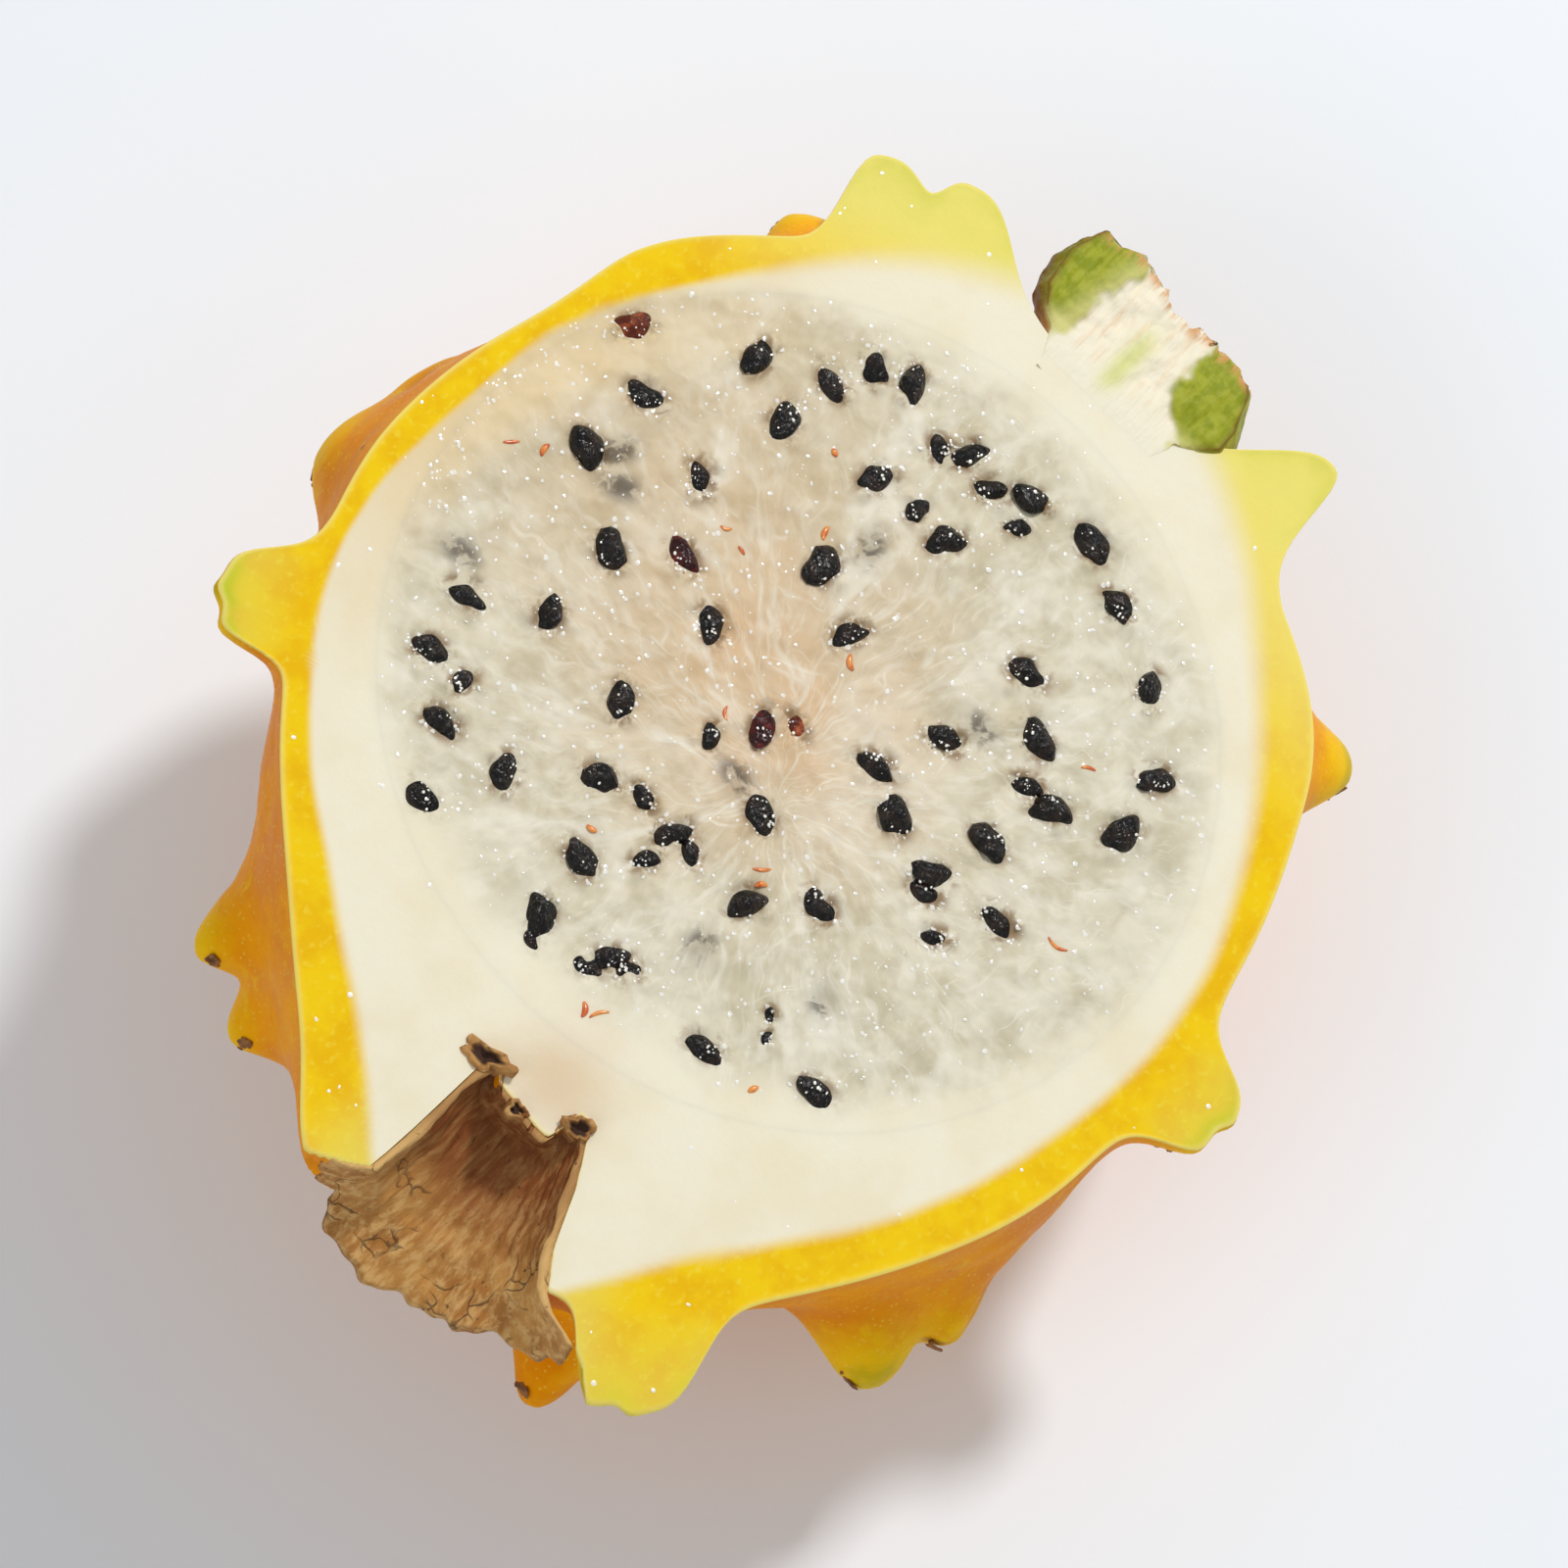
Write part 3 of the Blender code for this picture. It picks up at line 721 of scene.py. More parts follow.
@dataclass
class CutFace:
    """What the knife left: the rim, the yellow rind, the white pith and the flesh, and how rough each is."""

    skin: SkinShape
    hollow: FlowerHollow
    pulp: PulpShape
    seeds: tuple[SeedSpot, ...] = ()
    buried: tuple[SeedSpot, ...] = ()
    tanned_bearing: float = 78.0
    rind_inside: Table = (
        (-164.0, 47.2), (-156.0, 42.8), (-148.0, 39.2), (-139.0, 37.2), (-125.0, 35.8), (-98.0, 35.0),
        (-75.0, 36.4), (-50.0, 38.2), (-30.0, 40.6), (-12.0, 44.6), (5.0, 47.0), (24.0, 44.5), (42.0, 40.8),
        (60.0, 38.8), (80.0, 37.4), (110.0, 37.5), (135.0, 36.4), (147.0, 36.3), (156.0, 37.1),
        (167.0, 39.5), (174.0, 42.4), (180.0, 46.2),
    )
    rind_blur: Table = (
        (-150.0, 1.6), (-110.0, 1.3), (-60.0, 1.8), (-20.0, 3.6), (20.0, 4.4), (45.0, 1.4), (90.0, 0.7),
        (140.0, 0.9), (175.0, 1.5),
    )
    pulp_past: Table = (
        (-150.0, -0.8), (-120.0, 0.3), (-90.0, 1.0), (-60.0, 1.4), (-30.0, 0.9), (0.0, 0.2), (30.0, 0.4),
        (60.0, 1.6), (90.0, 1.1), (120.0, 1.0), (170.0, -1.0),
    )
    pulp_blur: Table = (
        (-150.0, 6.5), (-120.0, 5.5), (-90.0, 4.6), (-60.0, 4.2), (-30.0, 4.0), (0.0, 4.0), (40.0, 2.2),
        (85.0, 1.0), (120.0, 3.4), (150.0, 5.6), (180.0, 7.0),
    )

    def bearing(self, points: Array) -> Array:
        """The bearing of each place."""
        return np.degrees(np.arctan2(points[..., 1], points[..., 0]))

    def rim(self, bearings: Array) -> Array:
        """How far the edge of the cut is from the centre: the skin, or the hollow."""
        ways = directions_of(bearings, np.zeros_like(bearings))
        return np.minimum(self.skin.radius(ways), self.hollow.entry(ways))

    def seed_reach(self, points: Array, spot: SeedSpot) -> Array:
        """How far each place is from a seed, as a share of the seed's own half size.

        Args:
            points: places in the cut.
            spot: the seed.

        Returns:
            One share for each place, which is 1 at the seed's edge.
        """
        turn = np.radians(spot.heading)
        dx, dy = points[..., 0] - spot.x, points[..., 1] - spot.y
        along = dx * np.cos(turn) + dy * np.sin(turn)
        across = -dx * np.sin(turn) + dy * np.cos(turn)
        return np.hypot(along / (spot.length / 2), across / (spot.width / 2))

    def near_seeds(self, points: Array, seeds: tuple[SeedSpot, ...], inner: float, fade: float) -> Array:
        """How near each place is to a seed.

        Args:
            points: places in the cut.
            seeds: the seeds to look for.
            inner: the share of a seed's half size that counts as on it.
            fade: how far the nearness reaches past that.

        Returns:
            A share for each place, which is 1 on a seed.
        """
        near = np.zeros(points.shape[:-1])
        for spot in seeds:
            near = np.maximum(near, bell(np.maximum(self.seed_reach(points, spot) - inner, 0) / fade))
        return near

    def zones(self, points: Array) -> dict[str, Array]:
        """What each place of the cut is made of.

        Args:
            points: places in the cut.

        Returns:
            A share from 0 to 1 for each place, by name.
        """
        bearings = self.bearing(points)
        distance = flat_gap(points, 0.0, 0.0)
        flat = points * (1.0, 1.0, 0.0)
        wander = 0.10 * MM * layered(flat, 5.0 * MM, 3, 2)
        inside = round_interp(bearings, self.rind_inside) * MM + wander
        blur = round_interp(bearings, self.rind_blur) * MM
        rind = ease((distance - inside) / blur + 0.5)
        ways = directions_of(bearings, np.zeros_like(bearings))
        rim = self.rim(bearings)
        grown = self.skin.risen(ways)
        out = np.clip((distance - self.skin.body(ways)) / np.maximum(grown, 0.5 * MM), 0, 1)
        tip = out * ease((grown - 1.5 * MM) / (4.0 * MM))
        greener = 0.16 + 0.60 * bell((bearings - 119.0) / 5.0) + 0.30 * bell((bearings + 84.0) / 6.0)
        stem_side = ease((points[..., 0] - 24.0 * MM) / (18.0 * MM))
        stem_side = stem_side * ease((distance - 34.0 * MM) / (8.0 * MM))
        from_notch = bearing_gap(bearings, self.hollow.notch_bearing)
        notch_side = ease((19.0 - from_notch) / 8.0) * ease((distance - 38.0 * MM) / (4.0 * MM))
        edge = self.pulp.edge(bearings) + round_interp(bearings, self.pulp_past) * MM
        depth_in = (edge - distance) / (round_interp(bearings, self.pulp_blur) * MM)
        pulp = ease(depth_in + 0.12 * layered(flat, 2.6 * MM, 11))
        upper_left = bell(flat_gap(points, 14 * MM, 25 * MM) / 0.017)
        heart = bell(flat_gap(points, 4.0 * MM, 5.0 * MM) / 0.014)
        by_notch = bell(flat_gap(points, -30.5 * MM, -4.5 * MM) / 0.0042)
        tanned = bell(bearing_gap(bearings, self.tanned_bearing) / 30.0)
        tanned = tanned * ease((distance - 31.0 * MM) / (4.0 * MM))
        green = 0.26 * tip + greener * ease((tip - 0.70) / 0.28) + 0.15 * notch_side
        shade = 0.8 * self.near_seeds(points, self.buried, 0.35, 0.75)
        # Nearness to the seeds, which drives brown that is partly painted shade.
        halo = self.near_seeds(points, self.seeds, 0.9, 0.45)
        return {
            "rind": rind,
            "pale": np.clip(0.85 * stem_side + 0.5 * notch_side + 0.35 * tip, 0, 1),
            "green": np.clip(green, 0, 1),
            "rim": bell((rim - distance) / (0.28 * MM)) * ease((np.abs(bearings - 6.0) - 10.0) / 5.0),
            "pulp": pulp,
            "warm": np.clip(upper_left * (0.8 + 0.4 * mottle(flat, 5 * MM, 29)), 0, 1) * pulp,
            "tanned": tanned,
            "blush": np.clip(heart * (0.8 + 0.45 * mottle(flat, 4 * MM, 31)), 0, 1) * pulp + 0.9 * by_notch,
            "shade": shade,
            "halo": halo * pulp,
        }

    def relief(self, points: Array, zones: dict[str, Array]) -> Array:
        """How far each place stands above or below the plane of the cut.

        Args:
            points: places in the cut.
            zones: what each place is made of.

        Returns:
            One height for each place.
        """
        flat = points * (1.0, 1.0, 0.0)
        pulp, rind = zones["pulp"], zones["rind"]
        lumps = 0.20 * layered(flat, 3.2 * MM, 41) + 0.09 * layered(flat, 1.2 * MM, 43, 2)
        height = 0.05 * mottle(flat, 9 * MM, 45) + pulp * lumps - 0.05 * pulp
        height = height + 0.012 * rind * mottle(flat, 0.6 * MM, 47) + 0.08 * zones["rim"]
        for number, spot in enumerate(self.seeds):
            reach = self.seed_reach(points, spot)
            height = height - 0.22 * pulp * bell(reach / 0.9)
            for film in range(2):
                swing = np.radians(137.5 * (2 * number + film))
                x = spot.x + (0.50 + 0.05 * film) * spot.length * np.cos(swing)
                y = spot.y + (0.50 + 0.05 * film) * spot.length * np.sin(swing)
                near = bell(flat_gap(points, x, y) / (0.17 * spot.length))
                height = height + pulp * (0.48 - 0.12 * film) * near
        return height * MM


# Finishes


def paint(red: int, green: int, blue: int) -> Colour:
    """A colour given as it shows on a screen, from 0 to 255, as light."""
    shown = [part / 255 for part in (red, green, blue)]
    return tuple(part / 12.92 if part <= 0.04 else ((part + 0.055) / 1.055) ** 2.4 for part in shown)


Socket = bpy.types.NodeSocket
Value = Socket | float | Colour


class Recipe:
    """The nodes of one material, added one by one."""

    def __init__(self, name: str, pose: LyingPose | None = None) -> None:
        """Starts a material with one shader, and the fruit's own axes if its pose is given.

        Args:
            name: what the material is called.
            pose: how the half lies.
        """
        self.material = bpy.data.materials.new(name)
        self.material.use_nodes = True
        self.tree = self.material.node_tree
        self.tree.nodes.clear()
        self.shader = self.tree.nodes.new("ShaderNodeBsdfPrincipled")
        output = self.tree.nodes.new("ShaderNodeOutputMaterial")
        self.tree.links.new(self.shader.outputs["BSDF"], output.inputs["Surface"])
        self.place = self.node("TexCoord", "Object")
        if pose is not None:
            back = pose.matrix.inverted()
            moved = {"Location": tuple(back.translation), "Rotation": tuple(back.to_euler())}
            self.place = self.node("Mapping", "Vector", Vector=self.place, **moved)

    def feed(self, socket: Socket, value: Value) -> None:
        """Links a socket, or sets it to a number or a colour.

        Args:
            socket: the socket to feed.
            value: what it is fed.
        """
        if isinstance(value, bpy.types.NodeSocket):
            self.tree.links.new(value, socket)
        elif isinstance(value, tuple) and len(socket.default_value) == 4:
            socket.default_value = (*value, 1.0)
        else:
            socket.default_value = value

    def node(self, kind: str, output: str, options: dict[str, str] | None = None, **inputs: Value) -> Socket:
        """Adds one node.

        Args:
            kind: the kind of node.
            output: the output that is wanted.
            options: settings of the node, by name.
            **inputs: a value for each input that isn't left as it is.

        Returns:
            The output.
        """
        node = self.tree.nodes.new(f"ShaderNode{kind}")
        for name, option in (options or {}).items():
            setattr(node, name, option)
        for name, value in inputs.items():
            self.feed(node.inputs[name.replace("_", " ")], value)
        return node.outputs[output]

    def mark(self, name: str) -> Socket:
        """A mark that the mesh carries."""
        return self.node("Attribute", "Fac", {"attribute_name": name})

    def stretched(self, scale: Triple, turn: Triple = (0.0, 0.0, 0.0)) -> Socket:
        """The piece's coordinates, turned about each axis and then scaled on each."""
        return self.node("Mapping", "Vector", Vector=self.place, Scale=scale, Rotation=turn)

    def noise(
        self, size: float, detail: float = 3.0, rough: float = 0.55, place: Socket | None = None
    ) -> Socket:
        """Cloudy noise, mostly from 0.3 to 0.7, with patches of about this size in the units of place."""
        place = place or self.place
        return self.node("TexNoise", "Fac", Vector=place, Scale=0.7 / size, Detail=detail, Roughness=rough)

    def cells(self, size: float, feature: str = "F1", place: Socket | None = None) -> Socket:
        """Distances in a pattern of cells of about this size, as a share of a cell."""
        place = place or self.place
        return self.node("TexVoronoi", "Distance", {"feature": feature}, Vector=place, Scale=1.0 / size)

    def shifted(self, size: float, amount: float) -> Socket:
        """The piece's coordinates, pushed about by noise.

        Args:
            size: how wide a patch of the noise is.
            amount: how far it pushes.

        Returns:
            The new coordinates.
        """
        noise = self.node("TexNoise", "Color", Vector=self.place, Scale=0.7 / size)
        pushed = self.tree.nodes.new("ShaderNodeVectorMath")
        pushed.operation = "MULTIPLY_ADD"
        for socket, value in zip(pushed.inputs, (noise, (amount, amount, amount), self.place)):
            self.feed(socket, value)
        return pushed.outputs["Vector"]

    def rays(self, centre: tuple[float, float], spokes: float, length: float, place: Socket) -> Socket:
        """Noise drawn out into fibres that run away from one place.

        Args:
            centre: where the fibres start.
            spokes: how many patches of noise fit in one radian.
            length: how long a fibre is.
            place: the coordinates.

        Returns:
            The noise.
        """
        shift = self.tree.nodes.new("ShaderNodeVectorMath")
        shift.operation = "SUBTRACT"
        self.feed(shift.inputs[0], place)
        shift.inputs[1].default_value = (*centre, 0.0)
        apart = self.tree.nodes.new("ShaderNodeSeparateXYZ")
        self.feed(apart.inputs[0], shift.outputs["Vector"])
        x, y = apart.outputs["X"], apart.outputs["Y"]
        reach = self.math("SQRT", self.math("ADD", self.times(x, x), self.times(y, y)))
        reach = self.math("MAXIMUM", reach, 0.5 * MM)
        x, y = (self.times(self.math("DIVIDE", part, reach), spokes) for part in (x, y))
        joined = self.node("CombineXYZ", "Vector", X=x, Y=y, Z=self.math("DIVIDE", reach, length))
        return self.noise(0.7, 3.0, 0.6, joined)

    def spread(
        self, value: Value, low: float, high: float, to_low: float = 0.0, to_high: float = 1.0
    ) -> Socket:
        """Eases a value from to_low, where it is low, to to_high, where it is high, and holds the ends."""
        ends = {"From_Min": low, "From_Max": high, "To_Min": to_low, "To_Max": to_high}
        return self.node("MapRange", "Result", {"interpolation_type": "SMOOTHSTEP"}, Value=value, **ends)

    def math(self, operation: str, first: Value, second: Value = 0.0) -> Socket:
        """One sum of two values.

        Args:
            operation: the kind of sum.
            first: the first value.
            second: the second value.

        Returns:
            The result.
        """
        node = self.tree.nodes.new("ShaderNodeMath")
        node.operation = operation
        self.feed(node.inputs[0], first)
        self.feed(node.inputs[1], second)
        return node.outputs["Value"]

    def times(self, first: Value, second: Value) -> Socket:
        """Two values multiplied."""
        return self.math("MULTIPLY", first, second)

    def mix(self, share: Value, first: Value, second: Value) -> Socket:
        """Two colours mixed.

        Args:
            share: how much of the second there is.
            first: the first colour.
            second: the second colour.

        Returns:
            The mixed colour.
        """
        node = self.tree.nodes.new("ShaderNodeMix")
        node.data_type = "RGBA"
        sockets = [socket for socket in node.inputs if socket.enabled]
        for socket, value in zip(sockets, (share, first, second)):
            self.feed(socket, value)
        return next(socket for socket in node.outputs if socket.enabled)

    def bump(
        self, height: Socket, distance: float, strength: float = 1.0, under: Socket | None = None
    ) -> Socket:
        """The way a surface faces with relief of this height in metres, laid on any coarser relief."""
        lower = {} if under is None else {"Normal": under}
        return self.node("Bump", "Normal", Strength=strength, Distance=distance, Height=height, **lower)

    def finish(self, **inputs: Value) -> Material:
        """Sets the shader's inputs, whose names have underscores for spaces, and gives the material.

        Args:
            **inputs: a value for each input.

        Returns:
            The material.
        """
        for name, value in inputs.items():
            self.feed(self.shader.inputs[name.replace("_", " ")], value)
        return self.material


class Wetness(Enum):
    """How wet a part of the cut is: name, roughness, shine, how far light soaks in, painted glint share."""

    RIND = ("cut_rind", 0.74, 0.15, 0.10, 0.0)
    FLESH = ("wet_flesh", 0.74, 0.30, 0.10, 0.0)
    # The juice beads are mostly painted glint: their colour is mixed most of the way to white.
    JUICE = ("juice_with_painted_glint", 0.22, 1.0, 0.0, 0.72)


@dataclass(frozen=True)
class CutFinish:
    """The cut: grainy yellow rind, cream pith and clouded flesh with pale fibres."""

    wetness: Wetness = Wetness.RIND
    rind: Colour = paint(247, 206, 6)
    rind_deep: Colour = paint(240, 188, 0)
    rind_light: Colour = paint(248, 220, 62)
    rind_pale: Colour = paint(244, 228, 122)
    rind_green: Colour = paint(186, 198, 34)
    rim: Colour = paint(252, 232, 132)
    pith: Colour = paint(245, 237, 212)
    pith_warm: Colour = paint(240, 227, 194)
    pith_tan: Colour = paint(231, 205, 156)
    flesh: Colour = paint(224, 216, 191)
    flesh_cool: Colour = paint(202, 192, 162)
    flesh_tan: Colour = paint(206, 178, 134)
    flesh_peach: Colour = paint(217, 178, 132)
    fibre: Colour = paint(240, 234, 216)
    glint: Colour = paint(255, 253, 246)
    shadow: Colour = paint(60, 46, 34)
    # Brown round the seeds: partly the seed seen through the flesh, partly painted shade.
    halo_tone_and_shade: Colour = paint(138, 106, 68)
    heart: tuple[float, float] = (2.0 * MM, 2.0 * MM)

    def rind_colour(self, recipe: Recipe, grain: Socket) -> Socket:
        """The rind, paler towards the stem and greener at the nubs.

        Args:
            recipe: the cut's nodes.
            grain: fine noise.

        Returns:
            The colour.
        """
        patch = recipe.noise(2.6 * MM, 3.0)
        rind = recipe.mix(recipe.spread(patch, 0.34, 0.62), self.rind_deep, self.rind)
        rind = recipe.mix(recipe.spread(grain, 0.54, 0.72, 0.0, 0.5), rind, self.rind_light)
        rind = recipe.mix(recipe.mark("pale"), rind, self.rind_pale)
        greened = recipe.times(recipe.mark("green"), recipe.spread(patch, 0.3, 0.6, 0.45, 1.0))
        return recipe.mix(greened, rind, self.rind_green)

    def flesh_colour(self, recipe: Recipe) -> Socket:
        """The flesh, tan at one side, peach at its heart and crossed by fibres.

        Args:
            recipe: the cut's nodes.

        Returns:
            The colour.
        """
        bent = recipe.shifted(4 * MM, 4 * MM)
        cloud = recipe.noise(3.0 * MM, 4.0, 0.6, bent)
        flesh = recipe.mix(recipe.spread(cloud, 0.36, 0.64), self.flesh_cool, self.flesh)
        flesh = recipe.mix(recipe.times(recipe.mark("warm"), 0.85), flesh, self.flesh_tan)
        flesh = recipe.mix(recipe.times(recipe.mark("blush"), 0.85), flesh, self.flesh_peach)
        broad = recipe.spread(recipe.noise(4.6 * MM, 3.0, 0.58, bent), 0.50, 0.70, 0.0, 0.30)
        wisps = recipe.rays(self.heart, 6.0, 8.0 * MM, recipe.shifted(6 * MM, 7 * MM))
        wisps = recipe.spread(wisps, 0.50, 0.72, 0.0, 0.60)
        flesh = recipe.mix(recipe.math("MAXIMUM", broad, wisps), flesh, self.fibre)
        strands = recipe.rays(self.heart, 13.0, 4.0 * MM, bent)
        fine = recipe.rays(self.heart, 30.0, 5.0 * MM, recipe.shifted(5 * MM, 8 * MM))
        cross = recipe.rays((24.0 * MM, -30.0 * MM), 46.0, 6.0 * MM, recipe.shifted(3 * MM, 5 * MM))
        fine = recipe.spread(fine, 0.52, 0.76, 0.0, 0.85)
        fine = recipe.math("MAXIMUM", fine, recipe.spread(cross, 0.56, 0.78))
        strands = recipe.math("MAXIMUM", recipe.spread(strands, 0.48, 0.74, 0.0, 0.8), fine)
        dim = recipe.math("SUBTRACT", 0.64, recipe.times(recipe.mark("warm"), 0.36))
        return recipe.mix(recipe.times(strands, dim), flesh, self.fibre)

    def material(self, pose: LyingPose) -> Material:
        """The cut's material, driven by the marks of the zones.

        Args:
            pose: how the half lies.

        Returns:
            The material.
        """
        name, roughness, shine, soaked, glint_share = self.wetness.value
        recipe = Recipe(name, pose)
        grain = recipe.noise(0.5 * MM, 2.0)
        pith = recipe.mix(recipe.spread(recipe.noise(6 * MM), 0.4, 0.7, 0.0, 0.7), self.pith, self.pith_warm)
        pith = recipe.mix(recipe.mark("tanned"), pith, self.pith_tan)
        pith = recipe.mix(recipe.times(recipe.mark("blush"), 0.6), pith, self.flesh_peach)
        colour = recipe.mix(recipe.mark("rind"), pith, self.rind_colour(recipe, grain))
        flesh = self.flesh_colour(recipe)
        flesh = recipe.mix(recipe.times(recipe.mark("tanned"), 0.8), flesh, self.pith_tan)
        colour = recipe.mix(recipe.mark("pulp"), colour, flesh)
        # Brown round each seed: partly the dark seed seen through the clear flesh, partly painted shade round
        # its pocket.
        smear = recipe.spread(recipe.noise(1.1 * MM, 3.0, 0.6, recipe.shifted(1.5 * MM, 2 * MM)), 0.42, 0.62)
        halo_share = recipe.times(recipe.mark("halo"), recipe.times(smear, 0.85))
        colour = recipe.mix(halo_share, colour, self.halo_tone_and_shade)
        smudge = recipe.times(recipe.mark("shade"), recipe.spread(smear, 0.0, 1.0, 0.35, 1.0))
        colour = recipe.mix(smudge, colour, self.shadow)
        colour = recipe.mix(recipe.times(recipe.mark("rim"), 0.75), colour, self.rim)
        # Painted highlight: a share of white glint mixed into the colour, for the juice beads.
        colour = recipe.mix(glint_share, colour, self.glint)
        rough = recipe.math("SUBTRACT", roughness, recipe.times(recipe.mark("pulp"), 0.22))
        coarse = recipe.bump(recipe.noise(1.0 * MM, 2.0), 0.05 * MM, 0.5)
        fine = recipe.bump(grain, 0.03 * MM, 0.6, coarse)
        return recipe.finish(
            Base_Color=colour,
            Roughness=rough,
            Normal=fine,
            Specular_IOR_Level=shine,
            Subsurface_Weight=soaked,
            Subsurface_Radius=(1.0, 0.8, 0.5),
            Subsurface_Scale=0.0012,
        )


@dataclass(frozen=True)
class SkinFinish:
    """Waxy golden skin: lemon high spots, green nub tips, brown freckles, pale speckle, painted crease shade.
    """

    gold: Colour = paint(250, 162, 0)
    amber: Colour = paint(232, 132, 0)
    lemon: Colour = paint(250, 204, 14)
    green: Colour = paint(150, 156, 26)
    brown: Colour = paint(84, 48, 18)
    speckle: Colour = paint(252, 206, 72)
    crease_shade: Colour = paint(188, 96, 0)

    def material(self, pose: LyingPose) -> Material:
        """The skin's material, driven by how far the nubs lift it.

        Args:
            pose: how the half lies.

        Returns:
            The material.
        """
        recipe = Recipe("golden_skin", pose)
        patch = recipe.noise(6 * MM, 5.0, 0.62)
        skin = recipe.mix(recipe.spread(patch, 0.34, 0.68, 0.15, 1.0), self.amber, self.gold)
        veil = recipe.noise(1.5 * MM, 3.0, 0.65, recipe.shifted(3 * MM, 3 * MM))
        skin = recipe.mix(recipe.spread(veil, 0.56, 0.74, 0.0, 0.45), skin, self.lemon)
        skin = recipe.mix(recipe.spread(veil, 0.44, 0.28, 0.0, 0.40), skin, self.amber)
        high = recipe.times(recipe.mark("nub"), recipe.spread(veil, 0.25, 0.6, 0.75, 1.0))
        skin = recipe.mix(recipe.spread(high, 0.16, 0.85, 0.0, 0.85), skin, self.lemon)
        # Painted shade: darker orange-brown in the creases beside the nubs.
        skin = recipe.mix(recipe.times(recipe.mark("groove"), 0.7), skin, self.crease_shade)
        dots = recipe.cells(0.62 * MM)
        skin = recipe.mix(recipe.spread(dots, 0.14, 0.26, 0.55, 0.0), skin, self.speckle)
        uneven = recipe.spread(recipe.noise(1.6 * MM), 0.34, 0.6, 0.35, 1.0)
        skin = recipe.mix(recipe.times(recipe.mark("tip"), uneven), skin, self.green)
        spots = recipe.spread(recipe.cells(4.2 * MM), 0.045, 0.085, 1.0, 0.0)
        often = recipe.spread(recipe.noise(14 * MM, 1.0), 0.48, 0.60)
        skin = recipe.mix(recipe.times(recipe.times(spots, often), 0.8), skin, self.brown)
        drawn = recipe.noise(3.4 * MM, 4.0, 0.6, recipe.stretched((0.4, 1.0, 1.0)))
        folds = recipe.bump(drawn, 0.40 * MM, 0.5)
        leather = recipe.bump(recipe.noise(1.1 * MM, 3.0), 0.13 * MM, 0.6, folds)
        pores = recipe.bump(recipe.spread(dots, 0.0, 0.45), 0.05 * MM, 0.7, leather)
        return recipe.finish(
            Base_Color=skin,
            Roughness=recipe.spread(recipe.noise(3 * MM), 0.3, 0.7, 0.38, 0.52),
            Normal=pores,
            IOR=1.11,
        )


class SeedTone(Enum):
    """The colours that seeds come in, from ripe to unripe."""

    BLACK = "black"
    WINE = "wine"
    AMBER = "amber"


@dataclass(frozen=True)
class SeedFinish:
    """A glossy wet seed coat."""

    tone: SeedTone

    def material(self) -> Material:
        """The seed coat's material.

        Returns:
            The material.
        """
        dark, light = {
            SeedTone.BLACK: (paint(12, 8, 6), paint(46, 31, 23)),
            SeedTone.WINE: (paint(48, 8, 10), paint(120, 28, 26)),
            SeedTone.AMBER: (paint(92, 32, 12), paint(176, 84, 44)),
        }[self.tone]
        recipe = Recipe(f"seed_coat_{self.tone.value}")
        cloud = recipe.noise(0.8 * MM, 3.0)
        colour = recipe.mix(recipe.spread(cloud, 0.45, 0.75), dark, light)
        pits = recipe.bump(recipe.cells(0.42 * MM), 0.14 * MM, 1.0)
        dents = recipe.bump(recipe.noise(0.55 * MM, 3.0, 0.7), 0.30 * MM, 1.0, pits)
        return recipe.finish(
            Base_Color=colour,
            Roughness=recipe.spread(cloud, 0.3, 0.7, 0.16, 0.30),
            Normal=dents,
            Specular_IOR_Level=0.1,
            Coat_Weight=0.45,
            Coat_Roughness=0.08,
            Coat_Normal=dents,
        )


